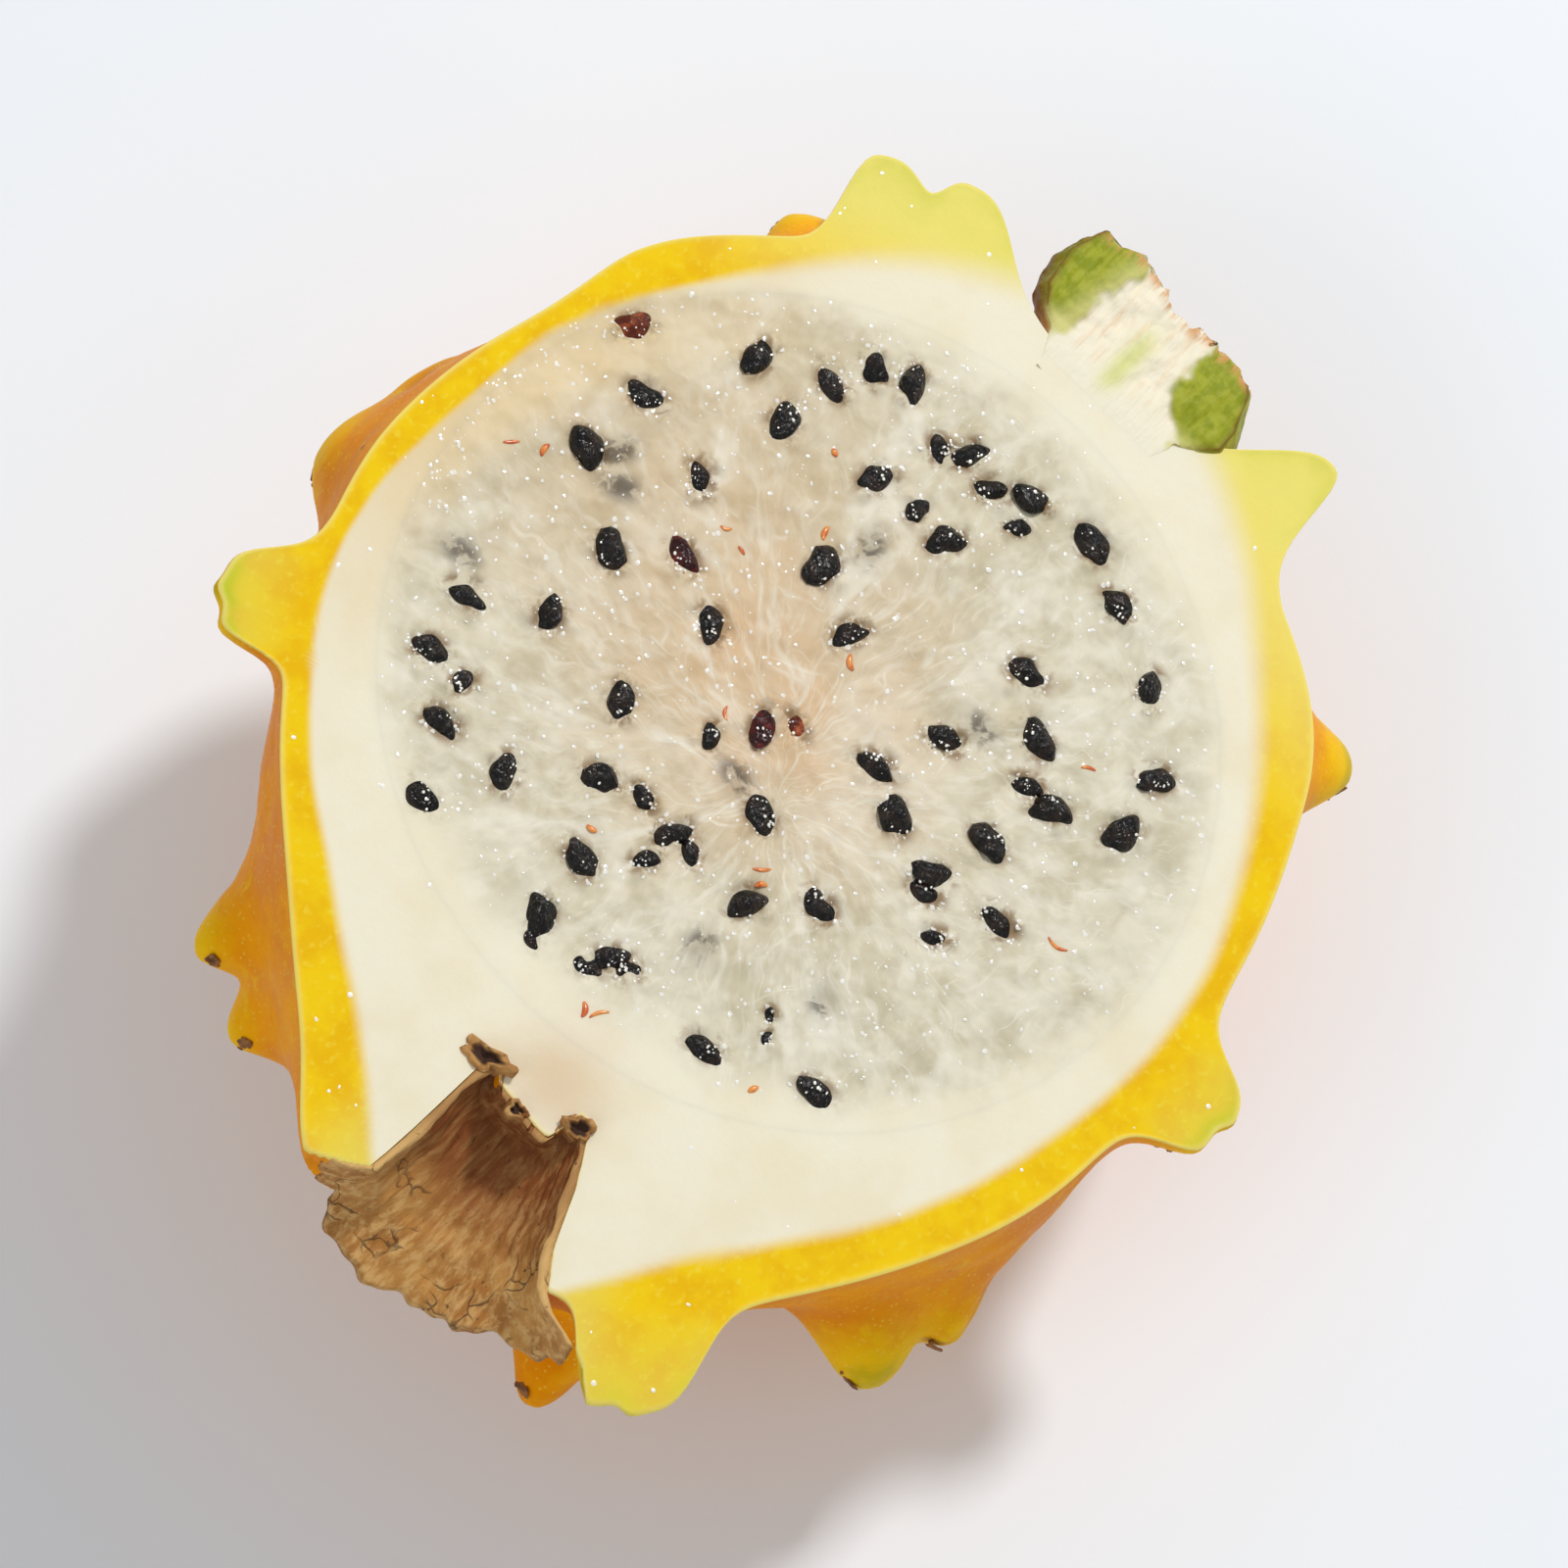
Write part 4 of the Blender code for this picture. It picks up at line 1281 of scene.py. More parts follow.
@dataclass(frozen=True)
class PaperFinish:
    """Dried flower base: tan parchment, streaks, dark cracks, a reddish inner end and painted hollow shade.
    """

    tan: Colour = paint(202, 146, 72)
    pale: Colour = paint(224, 180, 112)
    streak: Colour = paint(168, 110, 44)
    rust: Colour = paint(126, 62, 14)
    crack_and_hollow_shade: Colour = paint(62, 32, 10)

    def material(self, pose: LyingPose) -> Material:
        """The parchment's material, driven by marks for its inner end, cut edge, folds and painted shade.

        Args:
            pose: how the half lies.

        Returns:
            The material.
        """
        recipe = Recipe("dried_parchment", pose)
        along = recipe.stretched((0.16, 1.0, 1.0), (0.0, 0.0, np.radians(-9.0)))
        fibres = recipe.noise(0.55 * MM, 4.0, 0.65, along)
        blotch = recipe.noise(3.2 * MM, 4.0, 0.6)
        colour = recipe.mix(recipe.spread(blotch, 0.35, 0.68), self.streak, self.tan)
        colour = recipe.mix(recipe.spread(fibres, 0.42, 0.66, 0.0, 0.75), colour, self.pale)
        colour = recipe.mix(recipe.spread(fibres, 0.40, 0.28, 0.0, 0.7), colour, self.streak)
        inner = recipe.times(recipe.mark("inner"), recipe.spread(fibres, 0.3, 0.7, 1.0, 0.62))
        colour = recipe.mix(inner, colour, self.rust)
        colour = recipe.mix(recipe.mark("cut"), colour, self.pale)
        bent = recipe.shifted(2.4 * MM, 5.0 * MM)
        lines = recipe.cells(3.8 * MM, "DISTANCE_TO_EDGE", bent)
        broken = recipe.spread(recipe.noise(2.4 * MM, 2.0), 0.49, 0.64)
        lines = recipe.times(recipe.spread(lines, 0.004, 0.030, 1.0, 0.0), broken)
        cracks = recipe.times(lines, recipe.mark("mouth"))
        colour = recipe.mix(recipe.times(cracks, 0.62), colour, self.crack_and_hollow_shade)
        # Painted shade at the bottom of the hollow and inside the curls.
        colour = recipe.mix(recipe.mark("hollow_shade"), colour, self.crack_and_hollow_shade)
        specks = recipe.spread(recipe.noise(0.5 * MM, 2.0), 0.66, 0.76, 0.0, 0.7)
        colour = recipe.mix(specks, colour, self.crack_and_hollow_shade)
        streaky = recipe.bump(fibres, 0.22 * MM, 0.8)
        split = recipe.bump(cracks, 0.25 * MM, 0.8, streaky)
        return recipe.finish(Base_Color=colour, Roughness=0.78, Normal=split)


@dataclass(frozen=True)
class StemFinish:
    """Stem: green flesh in the ribs, a pale fibrous core, brown corky edges and a frayed red-brown end."""

    green: Colour = paint(166, 170, 44)
    green_deep: Colour = paint(140, 150, 20)
    green_pale: Colour = paint(214, 208, 128)
    core: Colour = paint(248, 238, 212)
    pith: Colour = paint(245, 237, 212)
    core_warm: Colour = paint(244, 218, 182)
    streak: Colour = paint(222, 222, 148)
    bark: Colour = paint(112, 66, 14)
    fray: Colour = paint(222, 160, 96)

    def material(self, pose: LyingPose) -> Material:
        """The stem's material, driven by marks for its tissues.

        Args:
            pose: how the half lies.

        Returns:
            The material.
        """
        recipe = Recipe("stem_tissue", pose)
        along = recipe.stretched((0.14, 1.0, 1.0))
        fibres = recipe.noise(0.4 * MM, 4.0, 0.6, along)
        grain = recipe.noise(0.7 * MM, 3.0)
        lobe = recipe.mix(recipe.spread(grain, 0.36, 0.62), self.green_deep, self.green)
        lobe = recipe.mix(recipe.mark("fade"), lobe, self.green_pale)
        core = recipe.mix(recipe.spread(fibres, 0.48, 0.70, 0.0, 0.75), self.core, self.core_warm)
        core = recipe.mix(recipe.mark("root"), core, self.pith)
        core = recipe.mix(recipe.mark("streak"), core, self.streak)
        colour = recipe.mix(recipe.mark("core"), lobe, core)
        frayed = recipe.times(recipe.mark("fray"), recipe.spread(fibres, 0.38, 0.58))
        colour = recipe.mix(frayed, colour, self.fray)
        rough_edge = recipe.times(recipe.mark("bark"), recipe.spread(grain, 0.28, 0.5, 0.45, 1.0))
        colour = recipe.mix(rough_edge, colour, self.bark)
        ridged = recipe.bump(fibres, 0.20 * MM, 0.8)
        pebbly = recipe.bump(grain, 0.12 * MM, 0.6, ridged)
        return recipe.finish(
            Base_Color=colour,
            Roughness=0.55,
            Normal=pebbly,
            Specular_IOR_Level=0.25,
        )


@dataclass(frozen=True)
class ScarFinish:
    """Corky scars on the nubs, where spines have been rubbed off."""

    cork: Colour = paint(158, 104, 50)
    dark: Colour = paint(86, 50, 20)

    def material(self) -> Material:
        """The cork's material.

        Returns:
            The material.
        """
        recipe = Recipe("corky_scar")
        grain = recipe.noise(0.5 * MM, 4.0, 0.7)
        colour = recipe.mix(recipe.spread(grain, 0.34, 0.60), self.dark, self.cork)
        return recipe.finish(Base_Color=colour, Roughness=0.85, Normal=recipe.bump(grain, 0.12 * MM, 0.7))


@dataclass(frozen=True)
class ThreadFinish:
    """Shreds of orange skin that the knife left on the cut."""

    orange: Colour = paint(240, 150, 64)
    rust: Colour = paint(214, 96, 36)

    def material(self) -> Material:
        """The shreds' material.

        Returns:
            The material.
        """
        recipe = Recipe("orange_shred")
        colour = recipe.mix(recipe.spread(recipe.noise(0.6 * MM), 0.4, 0.6), self.orange, self.rust)
        return recipe.finish(Base_Color=colour, Roughness=0.35, Coat_Weight=0.5, Coat_Roughness=0.1)


@dataclass(frozen=True)
class FloorFinish:
    """A pale matt floor."""

    white: Colour = paint(248, 252, 255)
    dust: Colour = paint(246, 250, 254)

    def material(self) -> Material:
        """The floor's material.

        Returns:
            The material.
        """
        recipe = Recipe("pale_floor")
        colour = recipe.mix(recipe.spread(recipe.noise(0.05), 0.3, 0.7), self.white, self.dust)
        return recipe.finish(Base_Color=colour, Roughness=0.7)


# The pieces


@dataclass
class Peel:
    """The skin, the rind and pith grown onto it, and the wall round the flesh, as one closed skin."""

    face: CutFace
    pose: LyingPose
    bearings_count: int = 740
    face_rings: int = 38
    skin_rings: int = 84
    cavity_rings: int = 8
    bevel: float = 0.10 * MM
    clearance: float = 0.05 * MM
    # The nub whose lemon top is taken back, as painted shade.
    shaded_nub: Bump = Bump(-154.5, 25.5, 0.0104, 0.0036)

    def bearings(self) -> Array:
        """The bearings of the mesh, closer together beside the hollow.

        Returns:
            The bearings, in degrees, once round.
        """
        fine = np.linspace(-180.0, 180.0, 7201)
        away = bearing_gap(fine, self.face.hollow.notch_bearing)
        weight = 1.0 + 2.2 * bell((away - 10.5) / 4.5)
        run = np.concatenate([[0.0], np.cumsum((weight[1:] + weight[:-1]) / 2)])
        return np.interp(np.arange(self.bearings_count) / self.bearings_count, run / run[-1], fine)

    def edge_points(self) -> Array:
        """The line where the flesh meets the pith."""
        bearings = self.bearings()
        return directions_of(bearings, 0.0) * self.face.pulp.edge(bearings)[:, None]

    def face_points(self) -> tuple[Array, dict[str, Array]]:
        """Rings of the cut face from the flesh to the rim, with their zones.

        Returns:
            The rings, and a value for each point by name.
        """
        bearings = self.bearings()
        inner, outer = self.face.pulp.edge(bearings), self.face.rim(bearings)
        share = np.linspace(0.0, 1.0, self.face_rings) ** 0.9
        distance = inner + (outer - self.bevel - inner) * share[:, None]
        points = directions_of(bearings, 0.0)[None] * distance[..., None]
        zones = self.face.zones(points)
        points[..., 2] = self.face.relief(points, zones)
        return points, zones

    def creases(self, directions: Array) -> Array:
        """How deep the folds beside each nub are, on the side towards the stem.

        Args:
            directions: unit vectors from the centre.

        Returns:
            A share of the full depth for each direction.
        """
        depth = np.zeros(directions.shape[:-1])
        for nub in self.face.skin.nubs():
            forward, sideways = self.face.skin.spot_on(directions, nub)
            back = -forward / nub.width
            swing = 0.25 * np.sin(back * 1.7 + nub.bearing)
            line = np.abs(sideways / nub.width + swing) - 0.55 - 0.16 * back
            run = ease((back - 0.5) / 0.8) * ease((4.2 - back) / 1.8)
            facing = directions @ nub.direction() > 0.5
            depth = np.maximum(depth, np.where(facing, bell(line / 0.17) * run, 0.0))
        return depth

    def skin_points(self) -> tuple[Array, dict[str, Array]]:
        """Rings of the skin from the rim to the back, with their marks.

        Returns:
            The rings, and a value for each point by name.
        """
        share = np.linspace(0.0, 1.0, self.skin_rings + 1)[:-1]
        dips = 0.22 + 89.2 * share**1.22
        directions = directions_of(self.bearings()[None, :], dips[:, None])
        skin, hollow = self.face.skin.radius(directions), self.face.hollow.entry(directions)
        spots = directions * skin[..., None]
        creases = self.creases(directions)
        away = ease((dips - 0.3) / 4.0)[:, None]
        drawn = spots * (0.28, 1.0, 1.0)
        wrinkles = 0.16 * layered(drawn, 3.0 * MM, 61) + 0.12 * layered(spots, 7.0 * MM, 63, 2)
        skin = skin + away * (wrinkles - 0.62 * creases) * MM
        lift = self.face.skin.risen(directions)
        points = directions * np.minimum(skin, hollow)[..., None]
        # Painted shade: round the tall nub low on the back the nub and tip marks are cut back, so it keeps
        # the darker gold of the body.
        from_shaded_nub = np.arccos(np.clip(directions @ self.shaded_nub.direction(), -1.0, 1.0))
        share_up = np.clip(lift / (6.5 * MM), 0, 1) * (1 - 0.75 * bell(from_shaded_nub / np.radians(9.0)))
        marks = {
            "nub": share_up,
            "tip": ease((share_up - 0.86) / 0.3),
            # The groove mark drives painted shade in the creases.
            "groove": np.clip(creases, 0, 1) * away * 0.8,
        }
        return points, marks

    def press_flat(self, points: Array) -> Array:
        """Keeps every point on or above the floor.

        Args:
            points: places in the fruit's axes.

        Returns:
            The places, moved up where they were below.
        """
        room = self.pose.to_room(points)
        room[..., 2] = np.maximum(room[..., 2], 0.0)
        return self.pose.to_fruit(room)

    def build(self, cut: Material, skin: Material) -> Piece:
        """Makes the peel.

        Args:
            cut: the cut's material.
            skin: the skin's material.

        Returns:
            The peel.
        """
        face, zones = self.face_points()
        outside, marks = self.skin_points()
        edge = face[0] * (1.0, 1.0, 0.0)
        dips = np.linspace(88.0, 0.0, self.cavity_rings, endpoint=False)
        cavity = self.face.pulp.under(edge, dips)
        cavity[..., 2] -= self.clearance
        rings = self.press_flat(np.concatenate([cavity, face, outside]))
        full = {}
        for name in (*zones, *marks):
            on_face = zones.get(name, np.zeros(face.shape[:2]))
            on_skin = marks.get(name, np.zeros(outside.shape[:2]))
            within = np.repeat(on_face[:1], len(cavity), axis=0)
            full[name] = np.concatenate([within, on_face, on_skin])
        first, last = len(cavity), len(cavity) + len(face) - 1
        slots = np.where(np.arange(len(rings) - 1) <= last, 0, 1)
        for name in ("rim", "rind", "pale"):
            full[name][last + 1] = full[name][last]
        centre = self.face.pulp.centre
        ends = (
            np.array([*centre, -self.face.pulp.depth - self.clearance]),
            directions_of(0.0, 90.0) * self.face.skin.radius(directions_of(0.0, 90.0)[None])[0],
        )
        shell = Shell("peel_rind")
        shell.add(rings, ends, full, slots, sharp_rings=(first, last + 1))
        return hand_over(shell.build(self.pose, [cut, skin]), "peel", "peel")


@dataclass
class Pulp:
    """The flesh, with its rough wet top and its round underside."""

    face: CutFace
    pose: LyingPose
    peel: Peel
    top_rings: int = 116
    under_rings: int = 12

    def build(self, cut: Material) -> Piece:
        """Makes the flesh.

        Args:
            cut: the cut's material.

        Returns:
            The flesh.
        """
        rim = self.peel.edge_points()
        centre = np.array([*self.face.pulp.centre, 0.0])
        share = (np.arange(1, self.top_rings + 1) / self.top_rings) ** 0.72
        top = centre + (rim - centre)[None] * share[:, None, None]
        zones = self.face.zones(top)
        top[..., 2] = self.face.relief(top, zones)
        dips = np.linspace(0.0, 88.0, self.under_rings + 1)[1:]
        under = self.face.pulp.under(rim, dips)
        rings = np.concatenate([top, under])
        marks = {}
        for name, values in zones.items():
            marks[name] = np.concatenate([values, np.repeat(values[-1:], len(under), axis=0)])
        ends = (centre, np.array([*self.face.pulp.centre, -self.face.pulp.depth]))
        shell = Shell("wet_pulp")
        shell.add(rings, ends, marks, sharp_rings=(self.top_rings - 1,))
        return hand_over(shell.build(self.pose, [cut]), "flesh", "flesh")


@dataclass
class SeedShape:
    """One seed: a flattened drop with a beak."""

    length: float = 0.0034
    width: float = 0.0023
    thickness: float = 0.0016
    stations: int = 15
    sides: int = 18

    def rings(self, place: Array, size: float, twist: int) -> tuple[Array, tuple[Array, Array]]:
        """The rings of one seed.

        Args:
            place: the turn and shift that take it where it lies, four by four.
            size: how much bigger or smaller it is than usual.
            twist: picks its own small bends.

        Returns:
            The rings, and the points that close them.
        """
        share = np.linspace(0.035, 0.975, self.stations)
        beak = 0.30 + 0.16 * np.sin(twist * 2.9)
        swell = np.sin(np.pi * share ** (1.0 + 0.5 * beak)) ** (0.44 + 0.3 * beak) * (1.04 - beak * share)
        around = circle(self.sides)
        keel = 1.0 + 0.06 * np.cos(2 * around + 0.7 * twist) + 0.09 * np.cos(3 * around + twist)
        flat = 0 * share[:, None]
        rows = [share[:, None] * 3 + 0 * around, np.cos(around) + flat, np.sin(around) + 5.0 * twist + flat]
        keel = keel * (1.0 + 0.30 * mottle(np.stack(rows, axis=-1), 0.9, 7))
        x = np.broadcast_to((share[:, None] - 0.5) * self.length, (self.stations, self.sides))
        y = swell[:, None] * np.cos(around) * keel * self.width / 2
        z = swell[:, None] * np.sin(around) * keel * self.thickness / 2
        bend = 0.30 * np.sin(twist * 1.7) * self.length
        y = y + bend * (share[:, None] - 0.45) ** 2 * 2.0
        rings = np.stack([x, y, z], axis=-1) * size
        ends = np.array([[-0.5 * self.length, 0, 0], [0.5 * self.length, bend * 0.6, 0]]) * size
        turn, shift = place[:3, :3], place[:3, 3]
        rings = rings @ turn.T + shift
        ends = ends @ turn.T + shift
        return rings, (ends[0], ends[1])


@dataclass
class Seeds:
    """The seeds that the cut shows, lying where the frame's seeds lie, and the smaller ones between them."""

    pose: LyingPose
    shape: SeedShape = field(default_factory=SeedShape)
    sunk: float = 0.04 * MM
    wine_seeds: tuple[int, ...] = (9, 35)
    between: Rows = (
        (30.0, 16.5, -126.0, 0.9), (-12.5, 22.0, -6.0, 0.8), (24.0, 6.5, 14.0, 0.7),
        (29.0, 8.5, -126.0, 0.85), (29.5, 3.5, -56.0, 0.9), (29.0, 0.0, -46.0, 0.7),
        (14.0, -14.5, -56.0, 0.85), (-1.5, 5.5, 29.0, 0.75), (-9.0, 6.0, -106.0, 0.8),
        (-12.5, 2.5, -26.0, 0.8), (-9.5, 0.5, -116.0, 0.8), (1.5, -14.5, -76.0, 0.85),
        (-0.5, -17.5, -51.0, 0.8), (-22.0, 0.0, -66.0, 0.85), (-20.0, -2.5, -36.0, 0.85),
        (-23.5, 4.5, -126.0, 0.7), (-14.5, -12.5, 34.0, 0.5), (-16.0, -13.5, 14.0, 0.45),
    )
    unripe: Rows = ((18.4, 32.0, -38.0, 0.95), (4.0, 1.5, -106.0, 0.8))
    deep: tuple[Triple, ...] = (
        (-5.0, 29.0, -86.0), (19.0, 7.0, 14.0), (14.5, -9.0, -91.0), (-2.5, 2.0, -96.0),
        (-10.5, -14.5, 29.0), (-14.5, -5.0, 4.0), (8.0, 24.0, -60.0), (10.0, 26.0, -30.0),
    )

    def deep_spots(self) -> tuple[SeedSpot, ...]:
        """Where seeds show dimly from below the cut."""
        return tuple(SeedSpot(x * MM, y * MM, heading) for x, y, heading in self.deep)

    def frame_places(self, nodes: dict[str, Piece]) -> dict[str, Array]:
        """The turn and shift of each of the frame's seeds, in the fruit's axes.

        Args:
            nodes: the frame's nodes, by name.

        Returns:
            A four by four place for each seed, by name.
        """
        places = {}
        for name in sorted(node for node in nodes if node.startswith("seed_")):
            points = np.array([vertex.co for vertex in nodes[name].data.vertices])
            points = self.pose.to_fruit(points)
            middle = (points.min(axis=0) + points.max(axis=0)) / 2
            _, vectors = np.linalg.eigh(np.cov((points - middle).T))
            length, width = vectors[:, 2], vectors[:, 1]
            along = (points - middle) @ length
            girth = np.linalg.norm((points - middle) - along[:, None] * length, axis=1)
            if girth[along > 0.0006].mean() > girth[along < -0.0006].mean():
                length = -length
            width = width * np.sign(np.cross(length, width)[2])
            place = np.eye(4)
            place[:3, :3] = np.stack([length, width, np.cross(length, width)], axis=1)
            place[:3, 3] = middle
            places[name] = place
        return places

    def spot_place(self, x: float, y: float, heading: float, size: float) -> Array:
        """The turn and shift of a seed that the frame doesn't have.

        Args:
            x: how far it is along the fruit, in millimetres.
            y: how far it is across it, in millimetres.
            heading: the way its point faces.
            size: how big it is, as a share of a usual seed.

        Returns:
            Its four by four place.
        """
        turn = np.radians(heading)
        place = np.eye(4)
        place[:2, :2] = [[np.cos(turn), -np.sin(turn)], [np.sin(turn), np.cos(turn)]]
        place[:3, 3] = [x * MM, y * MM, -0.36 * MM * size - 0.1 * MM]
        return place

    def spots(self, places: dict[str, Array]) -> tuple[SeedSpot, ...]:
        """Where all the seeds lie in the cut, for the flesh round them.

        Args:
            places: where the frame's seeds lie.

        Returns:
            One spot for each seed.
        """
        found = []
        for place in places.values():
            heading = np.degrees(np.arctan2(place[1, 0], place[0, 0]))
            found.append(SeedSpot(place[0, 3], place[1, 3], heading, level=place[2, 3]))
        for x, y, heading, size in self.between + self.unripe:
            length, width = self.shape.length * size, self.shape.width * size
            level = self.spot_place(x, y, heading, size)[2, 3]
            found.append(SeedSpot(x * MM, y * MM, heading, length, width, level))
        return tuple(found)

    def build(self, places: dict[str, Array], coats: dict[SeedTone, Material]) -> None:
        """Makes one piece for each of the frame's seeds, and one each for the small and the unripe seeds.

        Args:
            places: where the frame's seeds lie.
            coats: the material of each tone.
        """
        for number, (name, place) in enumerate(places.items(), 1):
            size = 1.09 + 0.07 * np.sin(number * 2.4)
            moved = place.copy()
            moved[2, 3] -= self.sunk * (1.0 + np.sin(number * 1.9))
            shell = Shell(f"{name}_coat")
            rings, ends = self.shape.rings(moved, size, number)
            shell.add(rings, ends)
            coat = coats[SeedTone.WINE if number in self.wine_seeds else SeedTone.BLACK]
            hand_over(shell.build(self.pose, [coat]), "seed", name)
        for label, tone, spots in (
            ("small_seeds", SeedTone.BLACK, self.between),
            ("unripe_seeds", SeedTone.AMBER, self.unripe),
        ):
            shell = Shell(label)
            for number, (x, y, heading, size) in enumerate(spots):
                rings, ends = self.shape.rings(self.spot_place(x, y, heading, size), size, number + 60)
                shell.add(rings, ends)
            hand_over(shell.build(self.pose, [coats[tone]]), "seed")


@dataclass
class FlowerBase:
    """The dried flower base: a sheet of parchment that lines the hollow, with curls at its inner end."""

    hollow: FlowerHollow
    pose: LyingPose
    around: int = 96
    steps: int = 76
    paper: float = 0.60 * MM
    gap: float = 0.06 * MM
    lip_azimuth: tuple[float, ...] = (0.0, 25.0, 57.0, 83.0, 103.0, 130.0, 150.0, 165.0, 180.0)
    lip_out: tuple[float, ...] = (14.3, 15.0, 15.4, 15.6, 16.8, 15.3, 14.3, 13.6, 13.4)

    def sheet(self, inset: float, streaked: float) -> tuple[Array, Array, Array]:
        """One side of the parchment.

        Args:
            inset: how far it lies inside the hollow's wall.
            streaked: how strongly it is creased.

        Returns:
            Its points, with the share of the way out and the azimuth of each.
        """
        azimuth = np.linspace(0.0, 180.0, self.around)
        travel = np.linspace(0.0, 1.0, self.steps)
        floor_part = 0.24
        wall = np.clip((travel - floor_part) / (1 - floor_part), 0, 1)[:, None]
        inward = np.clip(travel / floor_part, 0.04, 1)[:, None]
        side_start = self.hollow.spread(np.full(azimuth.shape, 0.6 * MM), azimuth)
        ragged = 0.40 * np.sin(azimuth / 9.0 + 0.6) + 0.24 * np.sin(azimuth / 4.1)
        ragged = ragged + 0.12 * np.sin(azimuth / 1.9)
        ragged = ragged * ease(np.minimum(azimuth, 180.0 - azimuth) / 20.0)
        lip = (np.interp(azimuth, self.lip_azimuth, self.lip_out) + ragged) * MM
        radial = self.hollow.base_distance() * np.tan(np.radians(side_start))
        sideways = radial * np.cos(np.radians(azimuth)) * inward
        down = radial * np.sin(np.radians(azimuth)) * inward
        floor = self.hollow.floor(sideways, down) + inset
        out = floor + (lip - floor) * wall
        spread = self.hollow.spread(out, azimuth) * np.where(wall > 0, 1.0, inward)
        shrink = np.degrees(inset / (self.hollow.base_distance() + out))
        spread = np.maximum(spread - shrink * np.where(inward > 0.5, 1.0, 0.4), 0.35)
        points = self.hollow.place(out, spread, azimuth + 0 * out)
        drawn = np.stack([out * 0.15, spread * 0.6 * MM, azimuth / 10.0 * MM + 0 * out], axis=-1)
        streaks = 0.16 * layered(drawn, 0.5 * MM, 71) + 0.30 * layered(points, 3.0 * MM, 73)
        inwards = -(points - (points @ self.hollow.axis())[..., None] * self.hollow.axis())
        inwards /= np.maximum(np.linalg.norm(inwards, axis=-1, keepdims=True), 1e-6)
        ramp = ease(travel / 0.3)[:, None]
        past = ease((out - 11.0 * MM) / (5.0 * MM))
        waves = 0.55 * past * np.sin(np.radians(azimuth) * 7.0 + 1.0)
        points = points + inwards * (((streaks + 0.12) * streaked + waves) * ramp * MM)[..., None]
        return points, out, azimuth + 0 * out

    def curl(self, shell: Shell, sideways: float, out: float, radius: float, turn: float) -> None:
        """Adds one torn and folded tongue of parchment, open at the top.

        Args:
            shell: the mesh that it joins.
            sideways: how far it is across the hollow.
            out: how far out it is.
            radius: how wide it is.
            turn: picks its own bends.
        """
        around = circle(28)
        middle = self.hollow.axis() * (self.hollow.base_distance() + out) + self.hollow.side() * sideways
        outside = [(1.02, -1.6), (1.04, -0.5), (1.06, 0.25), (1.04, 0.62), (0.92, 0.86), (0.72, 0.82)]
        inside = [(0.56, 0.66), (0.46, 0.48), (0.38, 0.38), (0.26, 0.31), (0.12, 0.29)]
        rings, depth = [], []
        for wide, high in outside + inside:
            wobble = 1 + 0.20 * np.cos(2 * around + turn) + 0.16 * np.cos(3 * around + 2 * turn)
            wobble = wobble + 0.12 * np.cos(5 * around - turn) + 0.07 * np.cos(9 * around + 3 * turn)
            at_top = ease((high - 0.2) / 0.5)
            lift = 0.55 * np.cos(around + turn) + 0.26 * np.cos(3 * around - turn)
            lift = (lift + 0.12 * np.cos(7 * around)) * at_top
            x = radius * wide * wobble * np.cos(around) * 1.15
            y = radius * wide * wobble * np.sin(around) * 0.66
            up = (high + lift) * 0.8 * MM
            ring = middle + x[:, None] * self.hollow.side() + y[:, None] * self.hollow.axis()
            rings.append(ring + up[:, None] * np.array([0, 0, 1]))
            depth.append(np.full(len(around), float((wide, high) in inside)))
        rings = np.array(rings)
        crumple = [layered(rings, 0.8 * MM, 93 + axis, 2) for axis in range(3)]
        rings = rings + 0.16 * MM * np.stack(crumple, axis=-1)
        # Painted shade, deeper inside the curl.
        hollow_shade = np.array(depth) * np.clip(np.linspace(-0.9, 1.6, len(rings)), 0, 1)[:, None]
        burnt = np.clip(0.5 + 0.5 * layered(rings, 1.1 * MM, 95), 0, 1)
        marks = {"inner": 0.30 + 0.5 * burnt, "cut": 0.3 * (1 - burnt)}
        marks |= {"mouth": np.zeros(hollow_shade.shape), "hollow_shade": np.clip(1.2 * hollow_shade, 0, 1)}
        shell.add(rings, (rings[0].mean(axis=0), rings[-1].mean(axis=0)), marks)

    def build(self, paper: Material) -> Piece:
        """Makes the dried flower base.

        Args:
            paper: the parchment's material.

        Returns:
            The flower base.
        """
        outer, _, _ = self.sheet(self.gap, 0.0)
        inner, out, azimuth = self.sheet(self.gap + self.paper, 1.0)
        outer[:, [0, -1], 2] = 0.02 * MM
        inner[:, [0, -1], 2] = 0.10 * MM
        frill = 0.10 * layered(inner, 1.0 * MM, 79)
        inner[:, [0, -1], 2] += frill[:, [0, -1]] * MM
        rings = np.concatenate([inner, outer[:, ::-1]], axis=1)
        share = (out / (15.0 * MM)).clip(0, 1)
        at_cut = np.minimum(azimuth, 180 - azimuth)
        marks_in = {
            "inner": 0.95 * ease((0.84 - share) / 0.52),
            "cut": bell(at_cut / 1.3) * (0.35 + 0.4 * ease((share - 0.3) / 0.4)),
            "mouth": ease((share - 0.35) / 0.3),
            # Painted shade at the bottom of the hollow, away from its cut edges.
            "hollow_shade": 0.55 * ease((0.10 - share) / 0.10) * ease(at_cut / 8),
        }
        marks = {name: np.concatenate([v, v[:, ::-1]], axis=1) for name, v in marks_in.items()}
        shell = Shell("flower_parchment")
        shell.add(rings, None, marks)
        self.curl(shell, -5.9 * MM, -0.3 * MM, 1.60 * MM, 0.5)
        self.curl(shell, 3.0 * MM, 0.0 * MM, 1.05 * MM, 2.0)
